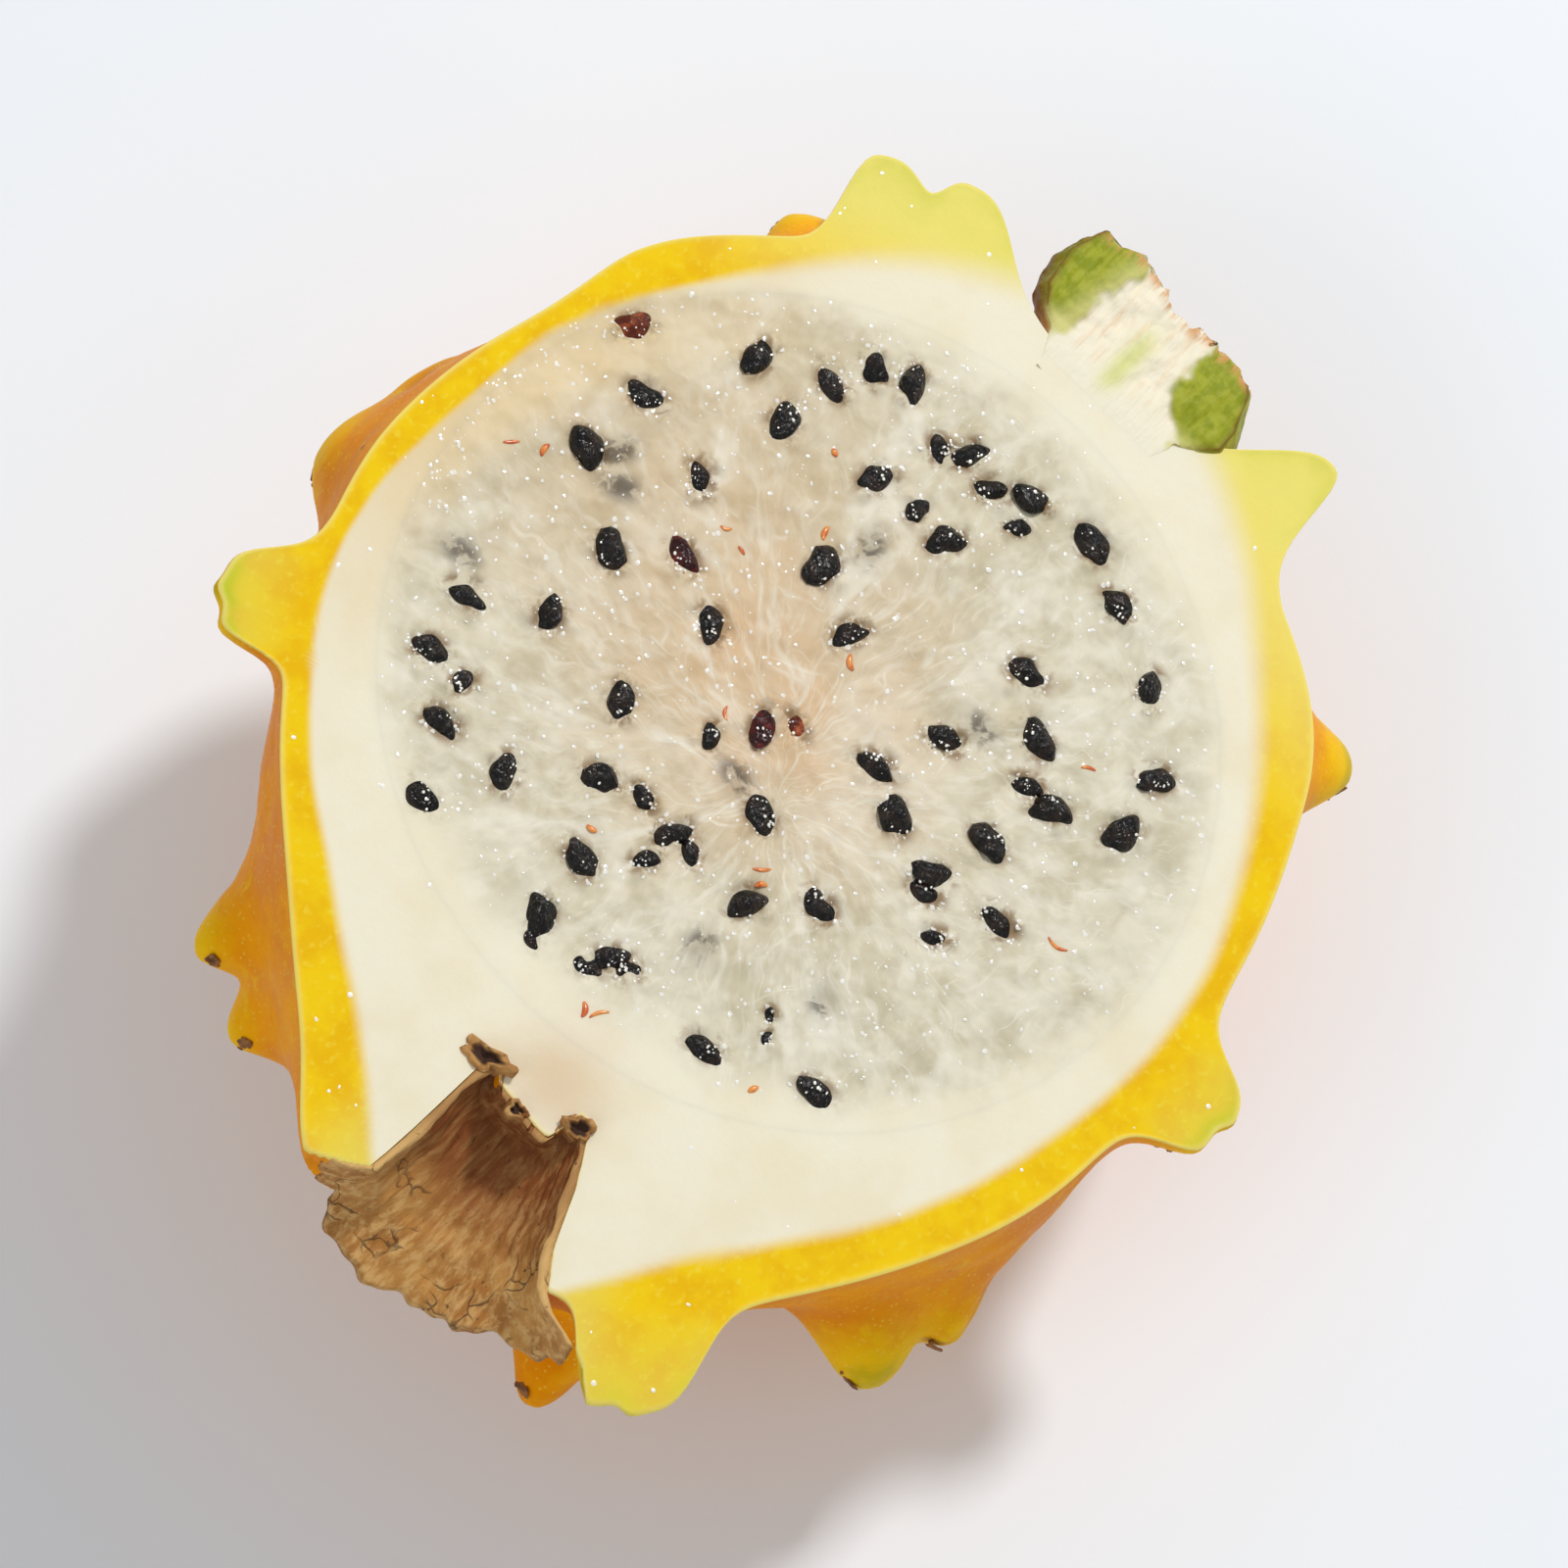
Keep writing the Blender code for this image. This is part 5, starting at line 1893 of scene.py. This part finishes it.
        self.curl(shell, -1.7 * MM, 1.7 * MM, 0.95 * MM, 3.4)
        return hand_over(shell.build(self.pose, [paper]), "dried_flower_base", "dried_flower_base")


@dataclass
class StemStub:
    """The piece of stem, cut with the fruit: ribs of green round a pale core, torn off at its far end."""

    pose: LyingPose
    root: float = 0.0405
    overlap: float = 0.6 * MM
    offset: float = 0.0022
    length: float = 0.0115
    root_radius: float = 0.0070
    tip_radius: float = 0.0092
    rib: float = 0.20
    root_rib: float = 0.4
    rib_bearing: float = -20.0
    stations: int = 72
    under_sides: int = 84
    face_sides: int = 96
    left_edge: Table = (
        (40.0, 7.6), (43.0, 8.8), (44.4, 10.9), (45.6, 11.8), (49.3, 12.4), (52.0, 11.5),
    )
    right_edge: Table = (
        (40.0, -3.4), (43.4, -4.4), (44.6, -6.2), (46.3, -7.3), (48.6, -7.2), (51.1, -6.0), (52.0, -5.4),
    )

    def end_at(self, across: Array) -> Array:
        """How far along the fruit the torn end is, across it.

        Args:
            across: places across the stem.

        Returns:
            One place along the fruit for each.
        """
        places = (-7.0, -5.7, -1.1, 1.5, 3.3, 5.0, 6.8, 8.9, 11.2, 12.4)
        reach = (50.6, 51.1, 51.8, 51.2, 51.3, 52.2, 52.6, 52.1, 52.0, 51.0)
        return np.interp(across / MM, places, reach) * MM

    def outline(self, along: Array, azimuth: Array) -> tuple[Array, Array]:
        """The stem's outline at places along it: across and down, for azimuths from +Y downwards.

        Args:
            along: places along the fruit.
            azimuth: angles round the stem, in radians.

        Returns:
            Where the outline is, across and down.
        """
        out = np.clip((along - self.root) / self.length, 0, 1)
        base = self.root_radius + (self.tip_radius - self.root_radius) * out
        rib_height = self.rib * (self.root_rib + (1 - self.root_rib) * out)
        radius = base * (1 + rib_height * np.cos(3 * (-azimuth - np.radians(self.rib_bearing))))
        left = np.interp(along / MM, *zip(*self.left_edge)) * MM - self.offset
        right = self.offset - np.interp(along / MM, *zip(*self.right_edge)) * MM
        at_left = base * (1 + rib_height * np.cos(3 * np.radians(self.rib_bearing)))
        at_right = base * (1 + rib_height * np.cos(3 * (-np.pi - np.radians(self.rib_bearing))))
        to_right = (1 - np.cos(azimuth)) / 2
        radius = radius * ((left / at_left) * (1 - to_right) + (right / at_right) * to_right)
        return self.offset + radius * np.cos(azimuth), -radius * np.sin(azimuth)

    def surface(self) -> tuple[Array, Array, Array]:
        """Rings from the root to the torn end, each down round the underside and back across the cut.

        Returns:
            The rings, how far out each point is as a share, and the two edges of the cut on each ring.
        """
        share = np.linspace(0.0, 1.0, self.stations)[:, None]
        along = self.root - self.overlap + share * (self.length + self.overlap)
        across, down = self.outline(along, self.azimuths())
        under = np.stack([np.broadcast_to(along, across.shape), across, down], axis=-1)
        edges = across[:, [0, -1]]
        weight = np.linspace(1.0, 0.0, self.face_sides + 2)[None, 1:-1]
        face_y = edges[:, 1:] * weight + edges[:, :1] * (1 - weight)
        face = np.stack([np.broadcast_to(along, face_y.shape), face_y, 0 * face_y], axis=-1)
        rings = np.concatenate([under, face], axis=1)
        torn = self.end_at(rings[..., 1]) + 0.35 * MM * layered(rings * (0.0, 1.0, 1.0), 1.0 * MM, 81)
        stretch = (rings[..., 0] - self.root) / self.length
        rings[..., 0] = np.where(stretch > 0, self.root + stretch * (torn - self.root), rings[..., 0])
        return rings, stretch, edges / MM

    def azimuths(self) -> Array:
        """The azimuths of the underside's points, in one row."""
        return np.linspace(0.0, np.pi, self.under_sides)[None, :]

    def tissues(self, rings: Array, stretch: Array, edges: Array) -> tuple[dict[str, Array], Array]:
        """What each point of the stem is made of, and how far the cut stands up there.

        Args:
            rings: the stem's rings.
            stretch: how far out each point is, as a share.
            edges: the two edges of the cut on each ring, in millimetres.

        Returns:
            A share for each point by name, and the heights in millimetres.
        """
        on_face = np.zeros(rings.shape[:2])
        on_face[:, self.under_sides :] = 1.0
        y, x = rings[..., 1] / MM, rings[..., 0] / MM
        core_left = np.interp(x, (43.0, 50.9, 52.8), (8.7, 7.3, 6.8))
        core_right = np.interp(x, (43.4, 44.6, 46.1, 52.0), (-4.4, -3.2, -1.6, -1.6))
        edge_noise = 0.5 * layered(rings, 1.5 * MM, 83)
        in_core = ease((core_left - y + edge_noise) / 0.8)
        in_core = in_core * ease((y - core_right + edge_noise) / 0.8)
        rootward = ease((43.4 - x) / 1.6)
        at_edge = bell((y - edges[:, :1]) / 0.45) + bell((y - edges[:, 1:]) / 0.45)
        swell = 0.30 * layered(rings * (0.2, 1.0, 1.0), 0.9 * MM, 85) + 0.25 * layered(rings, 2.0 * MM, 87)
        rise = 0.10 - 0.22 * ease((42.6 - x) / 3.0)
        rise = rise + 0.35 * (1 - in_core) * ease((x - 44.0) / 1.5)
        ribs = 0.5 + 0.5 * np.cos(3 * (-self.azimuths() - np.radians(self.rib_bearing)))
        corky = np.zeros(rings.shape[:2])
        corky[:, : self.under_sides] = ease((ribs - 0.55) / 0.4)
        streak = bell((y - 2.9 + 0.2 * edge_noise) / 0.95)
        marks = {
            "core": np.clip(in_core + rootward, 0, 1) * on_face + (1 - on_face) * rootward,
            "fade": np.clip(ease((45.2 - x) / 2.2) + bell((y - core_left) / 1.0) * 0.7, 0, 1),
            "root": ease((44.6 - x) / 2.2),
            "streak": streak * ease((x - 41.0) / 3.0) * ease((50.5 - x) / 4.0),
            "bark": np.clip((at_edge * on_face + corky * 0.8) * ease((x - 43.0) / 1.5), 0, 1),
            "fray": 0.9 * ease((stretch - 0.90) / 0.10),
        }
        return marks, on_face * (rise + swell * ease((x - 43.0) / 3.0))

    def torn_end(self, last: Array) -> Array:
        """Smaller rings that close the frayed end.

        Args:
            last: the last ring of the stem.

        Returns:
            The rings.
        """
        rings = []
        for shrink in (0.8, 0.55, 0.28):
            middle = last.mean(axis=0)
            closer = middle + (last - middle) * shrink
            frayed = layered(closer * (0.0, 1.0, 1.0), 0.8 * MM, 91)
            closer[:, 0] = self.end_at(closer[:, 1]) + 0.9 * MM * frayed
            rings.append(closer)
        return np.array(rings)

    def build(self, tissue: Material) -> Piece:
        """Makes the stem stub.

        Args:
            tissue: the stem's material.

        Returns:
            The stub.
        """
        rings, stretch, edges = self.surface()
        marks, heights = self.tissues(rings, stretch, edges)
        rings[..., 2] += heights * MM
        bark = layered(rings, 1.2 * MM, 89)[:, : self.under_sides, None]
        rings[:, : self.under_sides, 1:] += 0.22 * MM * bark
        full = np.concatenate([rings, self.torn_end(rings[-1])])
        marks = {name: np.concatenate([values] + [values[-1:]] * 3) for name, values in marks.items()}
        marks["core"][-3:] = np.maximum(marks["core"][-3:], [[0.5], [0.8], [1.0]])
        marks["bark"][-3:] *= 0.4
        shell = Shell("cut_stem_stub")
        shell.add(full, (full[0].mean(axis=0), full[-1].mean(axis=0)), marks)
        return hand_over(shell.build(self.pose, [tissue]), "stem_stub", "stem_stub")


@dataclass
class AreoleScars:
    """A corky pad on the tip of each nub, with the stumps of its spines."""

    skin: SkinShape
    pose: LyingPose
    pad: float = 0.66 * MM
    usual_radius: float = 0.040

    def footing(self, direction: Array) -> tuple[Array, Array]:
        """The place on the skin in one direction, and the way the skin faces there.

        Args:
            direction: a unit vector from the fruit's centre.

        Returns:
            The place, and a unit vector.
        """
        first, second = two_across(direction, 2)
        near = np.array([direction, direction + 0.012 * first, direction + 0.012 * second])
        near /= np.linalg.norm(near, axis=1)[:, None]
        places = near * self.skin.radius(near)[:, None]
        normal = unit(np.cross(places[1] - places[0], places[2] - places[0]))
        return places[0], normal * np.sign(normal @ direction)

    def blob(
        self, shell: Shell, foot: Array, normal: Array, radius: float, tall: float, twist: float
    ) -> None:
        """Adds one lump of cork, standing on the skin.

        Args:
            shell: the mesh that it joins.
            foot: where it stands.
            normal: the way it points.
            radius: how wide it is.
            tall: how high it is.
            twist: picks its own bends.
        """
        first, second = two_across(normal, 0)
        around = circle(14)
        rings = []
        for wide, high in ((1.0, -0.6), (1.05, 0.1), (0.9, 0.6), (0.6, 0.95), (0.25, 1.0)):
            bends = 1 + 0.22 * np.cos(2 * around + twist) + 0.14 * np.cos(5 * around - twist)
            reach = radius * wide * bends
            lift = tall * (high + 0.12 * np.cos(3 * around + twist))
            outwards = np.cos(around)[:, None] * first + np.sin(around)[:, None] * second
            rings.append(foot + reach[:, None] * outwards + lift[:, None] * normal)
        rings = np.array(rings)
        shell.add(rings, (rings[0].mean(axis=0), rings[-1].mean(axis=0)))

    def build(self, cork: Material) -> Piece:
        """Makes the scars.

        Args:
            cork: the cork's material.

        Returns:
            The scars.
        """
        shell = Shell("areole_scars")
        for number, nub in enumerate(self.skin.nubs()):
            below = max(nub.dip, 4.5)
            axis = Bump(nub.bearing, below, nub.height, nub.width).direction()
            way = nub.lean_way()
            for stump in range(2):
                twist = number * 1.3 + stump * 2.1
                shift = way * (0.35 * nub.width + 0.35 * MM * np.cos(twist))
                shift = shift + np.cross(axis, way) * 0.7 * MM * np.sin(twist * 1.7) * (stump > 0)
                direction = unit(axis + shift / self.usual_radius)
                if direction[2] > -0.055:
                    continue
                foot, normal = self.footing(direction)
                if self.pose.to_room(foot)[2] < 1.5 * MM:
                    continue
                radius = self.pad if stump == 0 else (0.22 + 0.05 * np.sin(twist)) * MM
                tall = 0.10 * MM if stump == 0 else (0.20 + 0.06 * np.cos(twist)) * MM
                self.blob(shell, foot, normal, radius, tall, twist)
        return hand_over(shell.build(self.pose, [cork]), "peel")


@dataclass
class PulpThreads:
    """Shreds of orange skin on the cut."""

    face: CutFace
    pose: LyingPose
    spots: Rows = (
        (4.3, 32.3, -40.0, 1.3), (5.8, 30.0, 10.0, 1.1), (11.8, 16.0, -60.0, 0.9), (17.2, 10.2, 20.0, 1.2),
        (11.3, 13.9, -100.0, 0.8), (11.0, 1.8, -130.0, 1.3), (0.7, 5.9, 40.0, 1.2),
        (-13.8, 7.1, -80.0, 0.9), (-6.5, -4.3, -45.0, 1.5), (-7.5, -5.2, -40.0, 1.0),
        (6.2, -24.6, -80.0, 1.8), (-19.8, -15.5, -20.0, 0.9), (-24.2, -3.2, -30.0, 1.6),
        (-24.8, -2.0, 35.0, 1.2), (18.4, -17.0, -55.0, 1.2), (22.6, 14.1, 70.0, 0.7),
    )

    def build(self, shred: Material) -> Piece:
        """Makes the shreds.

        Args:
            shred: the shreds' material.

        Returns:
            The shreds.
        """
        shell = Shell("orange_shreds")
        for number, (x, y, heading, length) in enumerate(self.spots):
            share = np.linspace(-0.5, 0.5, 9)
            bend = (0.5 - 4 * share**2 * 0.5) * 0.35 * np.sin(number * 2.3)
            line = np.stack([share * length, bend * length, 0 * share], axis=-1) * MM
            line = line @ flat_turn(np.radians(heading)) + np.array([x * MM, y * MM, 0.0])
            line[:, 2] = self.face.relief(line, self.face.zones(line)) + 0.05 * MM
            thick = (0.20 - 0.5 * share**2) * MM * (0.8 + 0.5 * (number % 2))
            around = circle(8)
            along = np.gradient(line, axis=0)
            along /= np.linalg.norm(along, axis=1)[:, None]
            side = np.cross(along, [0.0, 0.0, 1.0])
            ring = side[:, None] * np.cos(around)[None, :, None]
            ring = ring + np.array([0, 0, 0.6]) * np.sin(around)[None, :, None]
            rings = line[:, None] + ring * thick[:, None, None]
            shell.add(rings, (line[0], line[-1]))
        return hand_over(shell.build(self.pose, [shred]), "peel")


@dataclass
class JuiceBeads:
    """Beads of juice on the cut, thickest round the seeds and along the edge of the flesh."""

    face: CutFace
    pose: LyingPose
    count: int = 3600
    on_seeds: int = 10
    seed_share: float = 0.62
    seed_half: float = 0.80 * MM
    seed: int = 5

    def spots(self) -> Array:
        """Where the beads stand.

        Returns:
            One place for each bead.
        """
        draw = np.random.default_rng(self.seed)
        tries = draw.uniform(-0.046, 0.046, (26000, 2))
        points = np.concatenate([tries, np.zeros((len(tries), 1))], axis=1)
        bearings = self.face.bearing(points)
        distance = flat_gap(points, 0.0, 0.0)
        zones = self.face.zones(points)
        near = zones["halo"]
        at_edge = bell((distance - self.face.pulp.edge(bearings)) / (1.2 * MM))
        at_edge = at_edge * bell((bearings - 95.0) / 50.0)
        clumps = ease(0.5 + layered(points, 3.0 * MM, 97))
        chance = (0.05 + 0.45 * near + 0.45 * at_edge + 0.16 * clumps) * (0.02 + 0.98 * zones["pulp"])
        chance = chance + 0.012 * zones["rind"]
        chance = np.where(distance < self.face.rim(bearings) - 0.5 * MM, chance, 0.0)
        kept = points[draw.uniform(0, 1, len(points)) < chance][: self.count]
        kept[:, 2] = self.face.relief(kept, self.face.zones(kept))
        for spot in self.face.seeds:
            ways = draw.uniform(0, 2 * np.pi) + draw.normal(0.0, 1.0, self.on_seeds)
            shares = np.sqrt(draw.uniform(0.02, 0.9, self.on_seeds))
            along, across = shares * np.cos(ways) * spot.length / 2, shares * np.sin(ways) * spot.width / 2
            turn = np.radians(spot.heading)
            x = spot.x + along * np.cos(turn) - across * np.sin(turn)
            y = spot.y + along * np.sin(turn) + across * np.cos(turn)
            tall = spot.level + self.seed_half * spot.length / SeedSpot.length * np.sqrt(1 - shares**2)
            kept = np.concatenate([kept, np.stack([x, y, tall], axis=-1)])
        return kept

    def build(self, cut: Material) -> Piece:
        """Makes the beads.

        Args:
            cut: the juice's material.

        Returns:
            The beads.
        """
        spots = self.spots()
        zones = self.face.zones(spots)
        draw = np.random.default_rng(self.seed + 1)
        around = circle(8)
        ring = np.stack([np.cos(around), np.sin(around), 0 * around], axis=-1)
        shell = Shell("juice_beads")
        on_flesh = len(spots) - self.on_seeds * len(self.face.seeds)
        for number, spot in enumerate(spots):
            radius = (0.08 + 0.18 * draw.uniform(0, 1) ** 1.5) * MM
            radius *= 1.0 if number < on_flesh else self.seed_share
            dome = draw.uniform(0.02, 0.12)
            oval = np.array([1.0, draw.uniform(0.55, 1.0), 1.0])
            turn, lean = flat_turn(draw.uniform(0, np.pi)), draw.uniform(0.0, 0.12)
            tip = np.array([[np.cos(lean), 0, np.sin(lean)], [0, 1, 0], [-np.sin(lean), 0, np.cos(lean)]])
            profile = [(0.92, -0.6)] + [(wide, dome * (1 - wide**2) + 0.02) for wide in (1.0, 0.8, 0.45)]
            levels = [ring * oval * wide + [0, 0, high] for wide, high in profile]
            rings = np.array([spot + level @ tip @ turn * radius for level in levels])
            marks = {name: np.full(rings.shape[:2], values[number]) for name, values in zones.items()}
            marks["rim"] *= 0.0
            marks["shade"] *= 0.3
            top = spot + np.array([0, 0, dome + 0.02]) @ tip @ turn * radius
            shell.add(rings, (spot - [0, 0, 0.7 * radius], top), marks)
        return hand_over(shell.build(self.pose, [cut]), "flesh")


# The room


@dataclass
class Studio:
    """The floor, the lights and the camera."""

    pose: LyingPose
    view_from: float = 22.0
    right: Triple = (0.6475, -0.7152, 0.2617)
    look_right: float = 0.0006
    look_up: float = -0.0008
    distance: float = 0.80
    field_width: float = 0.1200
    sensor: float = 36.0
    key_watts: float = 8.2
    fill_watts: float = 2.4
    sky: float = 0.44
    sky_colour: Colour = (0.93, 0.965, 1.0)
    floor_half: float = 4.0

    def camera_axes(self) -> tuple[Array, Array, Array]:
        """Right, up and back of the camera, in the room.

        Returns:
            Three unit vectors.
        """
        turn = self.pose.axes()
        tilt = np.radians(self.view_from)
        back = np.array([-np.sin(tilt), 0.0, np.cos(tilt)])
        right = np.array(self.right)
        right = unit(right - back * (right @ back))
        return turn @ right, turn @ np.cross(back, right), turn @ back

    def centre(self) -> Array:
        """The place that the camera looks at, in the room."""
        right, up, _ = self.camera_axes()
        return self.pose.to_room(np.zeros(3)) + right * self.look_right + up * self.look_up

    def add_camera(self) -> None:
        """Makes the camera and gives it to the scene."""
        right, up, back = self.camera_axes()
        data = bpy.data.cameras.new("camera")
        data.sensor_width = self.sensor
        data.lens = self.sensor * self.distance / self.field_width
        data.clip_start, data.clip_end = 0.01, 20.0
        camera = put_in_scene("camera", data)
        placed = Matrix(np.stack([right, up, back], axis=1).tolist()).to_4x4()
        placed.translation = (self.centre() + back * self.distance).tolist()
        camera.matrix_world = placed
        bpy.context.scene.camera = camera

    def add_light(self, name: str, way: Triple, far: float, size: float, watts: float) -> None:
        """Makes one soft lamp that faces the half.

        Args:
            name: what it is called.
            way: where it stands, to the right, up and towards the camera.
            far: how far off it is.
            size: how wide it is.
            watts: its power.
        """
        right, up, back = self.camera_axes()
        direction = unit(way[0] * right + way[1] * up + way[2] * back)
        data = bpy.data.lights.new(name, "AREA")
        data.shape, data.size, data.energy = "DISK", size, watts
        lamp = put_in_scene(name, data)
        side = unit(np.cross([0.0, 0.0, 1.0], direction))
        aim = Matrix(np.stack([side, np.cross(direction, side), direction], axis=1).tolist()).to_4x4()
        aim.translation = (self.centre() + direction * far).tolist()
        lamp.matrix_world = aim

    def add_floor(self, pale: Material) -> None:
        """Makes the floor.

        Args:
            pale: the floor's material.
        """
        mesh = bpy.data.meshes.new("floor")
        half = self.floor_half
        corners = [(-half, -half, 0), (half, -half, 0), (half, half, 0), (-half, half, 0)]
        mesh.from_pydata(corners, [], [(0, 1, 2, 3)])
        mesh.materials.append(pale)
        floor = put_in_scene("floor", mesh)

    def add_sky(self) -> None:
        """Makes the even pale light from all round."""
        world = bpy.data.worlds.new("studio")
        world.use_nodes = True
        background = next(node for node in world.node_tree.nodes if node.type == "BACKGROUND")
        background.inputs["Color"].default_value = (*self.sky_colour, 1.0)
        background.inputs["Strength"].default_value = self.sky
        bpy.context.scene.world = world

    def build(self, pale: Material) -> None:
        """Sets up the room.

        Args:
            pale: the floor's material.
        """
        bpy.context.scene.view_settings.view_transform = "Standard"
        self.add_camera()
        self.add_floor(pale)
        self.add_sky()
        self.add_light("key_light", (0.45, 0.65, 0.60), 1.20, 0.17, self.key_watts)
        self.add_light("fill_light", (-0.60, -0.25, 0.75), 1.30, 0.90, self.fill_watts)


def main() -> None:
    """Builds the half, piece by piece, and the room round it."""
    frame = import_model()
    pulp, skin, hollow, pose = PulpShape(), SkinShape(), FlowerHollow(), LyingPose()
    pose.settle(pulp, frame["nodes"]["flesh"])
    skin.settle_feet(pose.axes()[2])
    studio = Studio(pose)
    studio.build(FloorFinish().material())
    seeds = Seeds(pose)
    places = seeds.frame_places(frame["nodes"])
    face = CutFace(skin, hollow, pulp, seeds.spots(places), seeds.deep_spots())
    peel = Peel(face, pose)
    peel.build(CutFinish().material(pose), SkinFinish().material(pose))
    Pulp(face, pose, peel).build(CutFinish(Wetness.FLESH).material(pose))
    seeds.build(places, {tone: SeedFinish(tone).material() for tone in SeedTone})
    FlowerBase(hollow, pose).build(PaperFinish().material(pose))
    StemStub(pose).build(StemFinish().material(pose))
    AreoleScars(skin, pose).build(ScarFinish().material())
    PulpThreads(face, pose).build(ThreadFinish().material())
    # The beads' finish is mostly painted glint white.
    JuiceBeads(face, pose).build(CutFinish(Wetness.JUICE).material(pose))


if __name__ == "__main__":
    logging.basicConfig(level=logging.INFO, format="%(message)s")
    main()
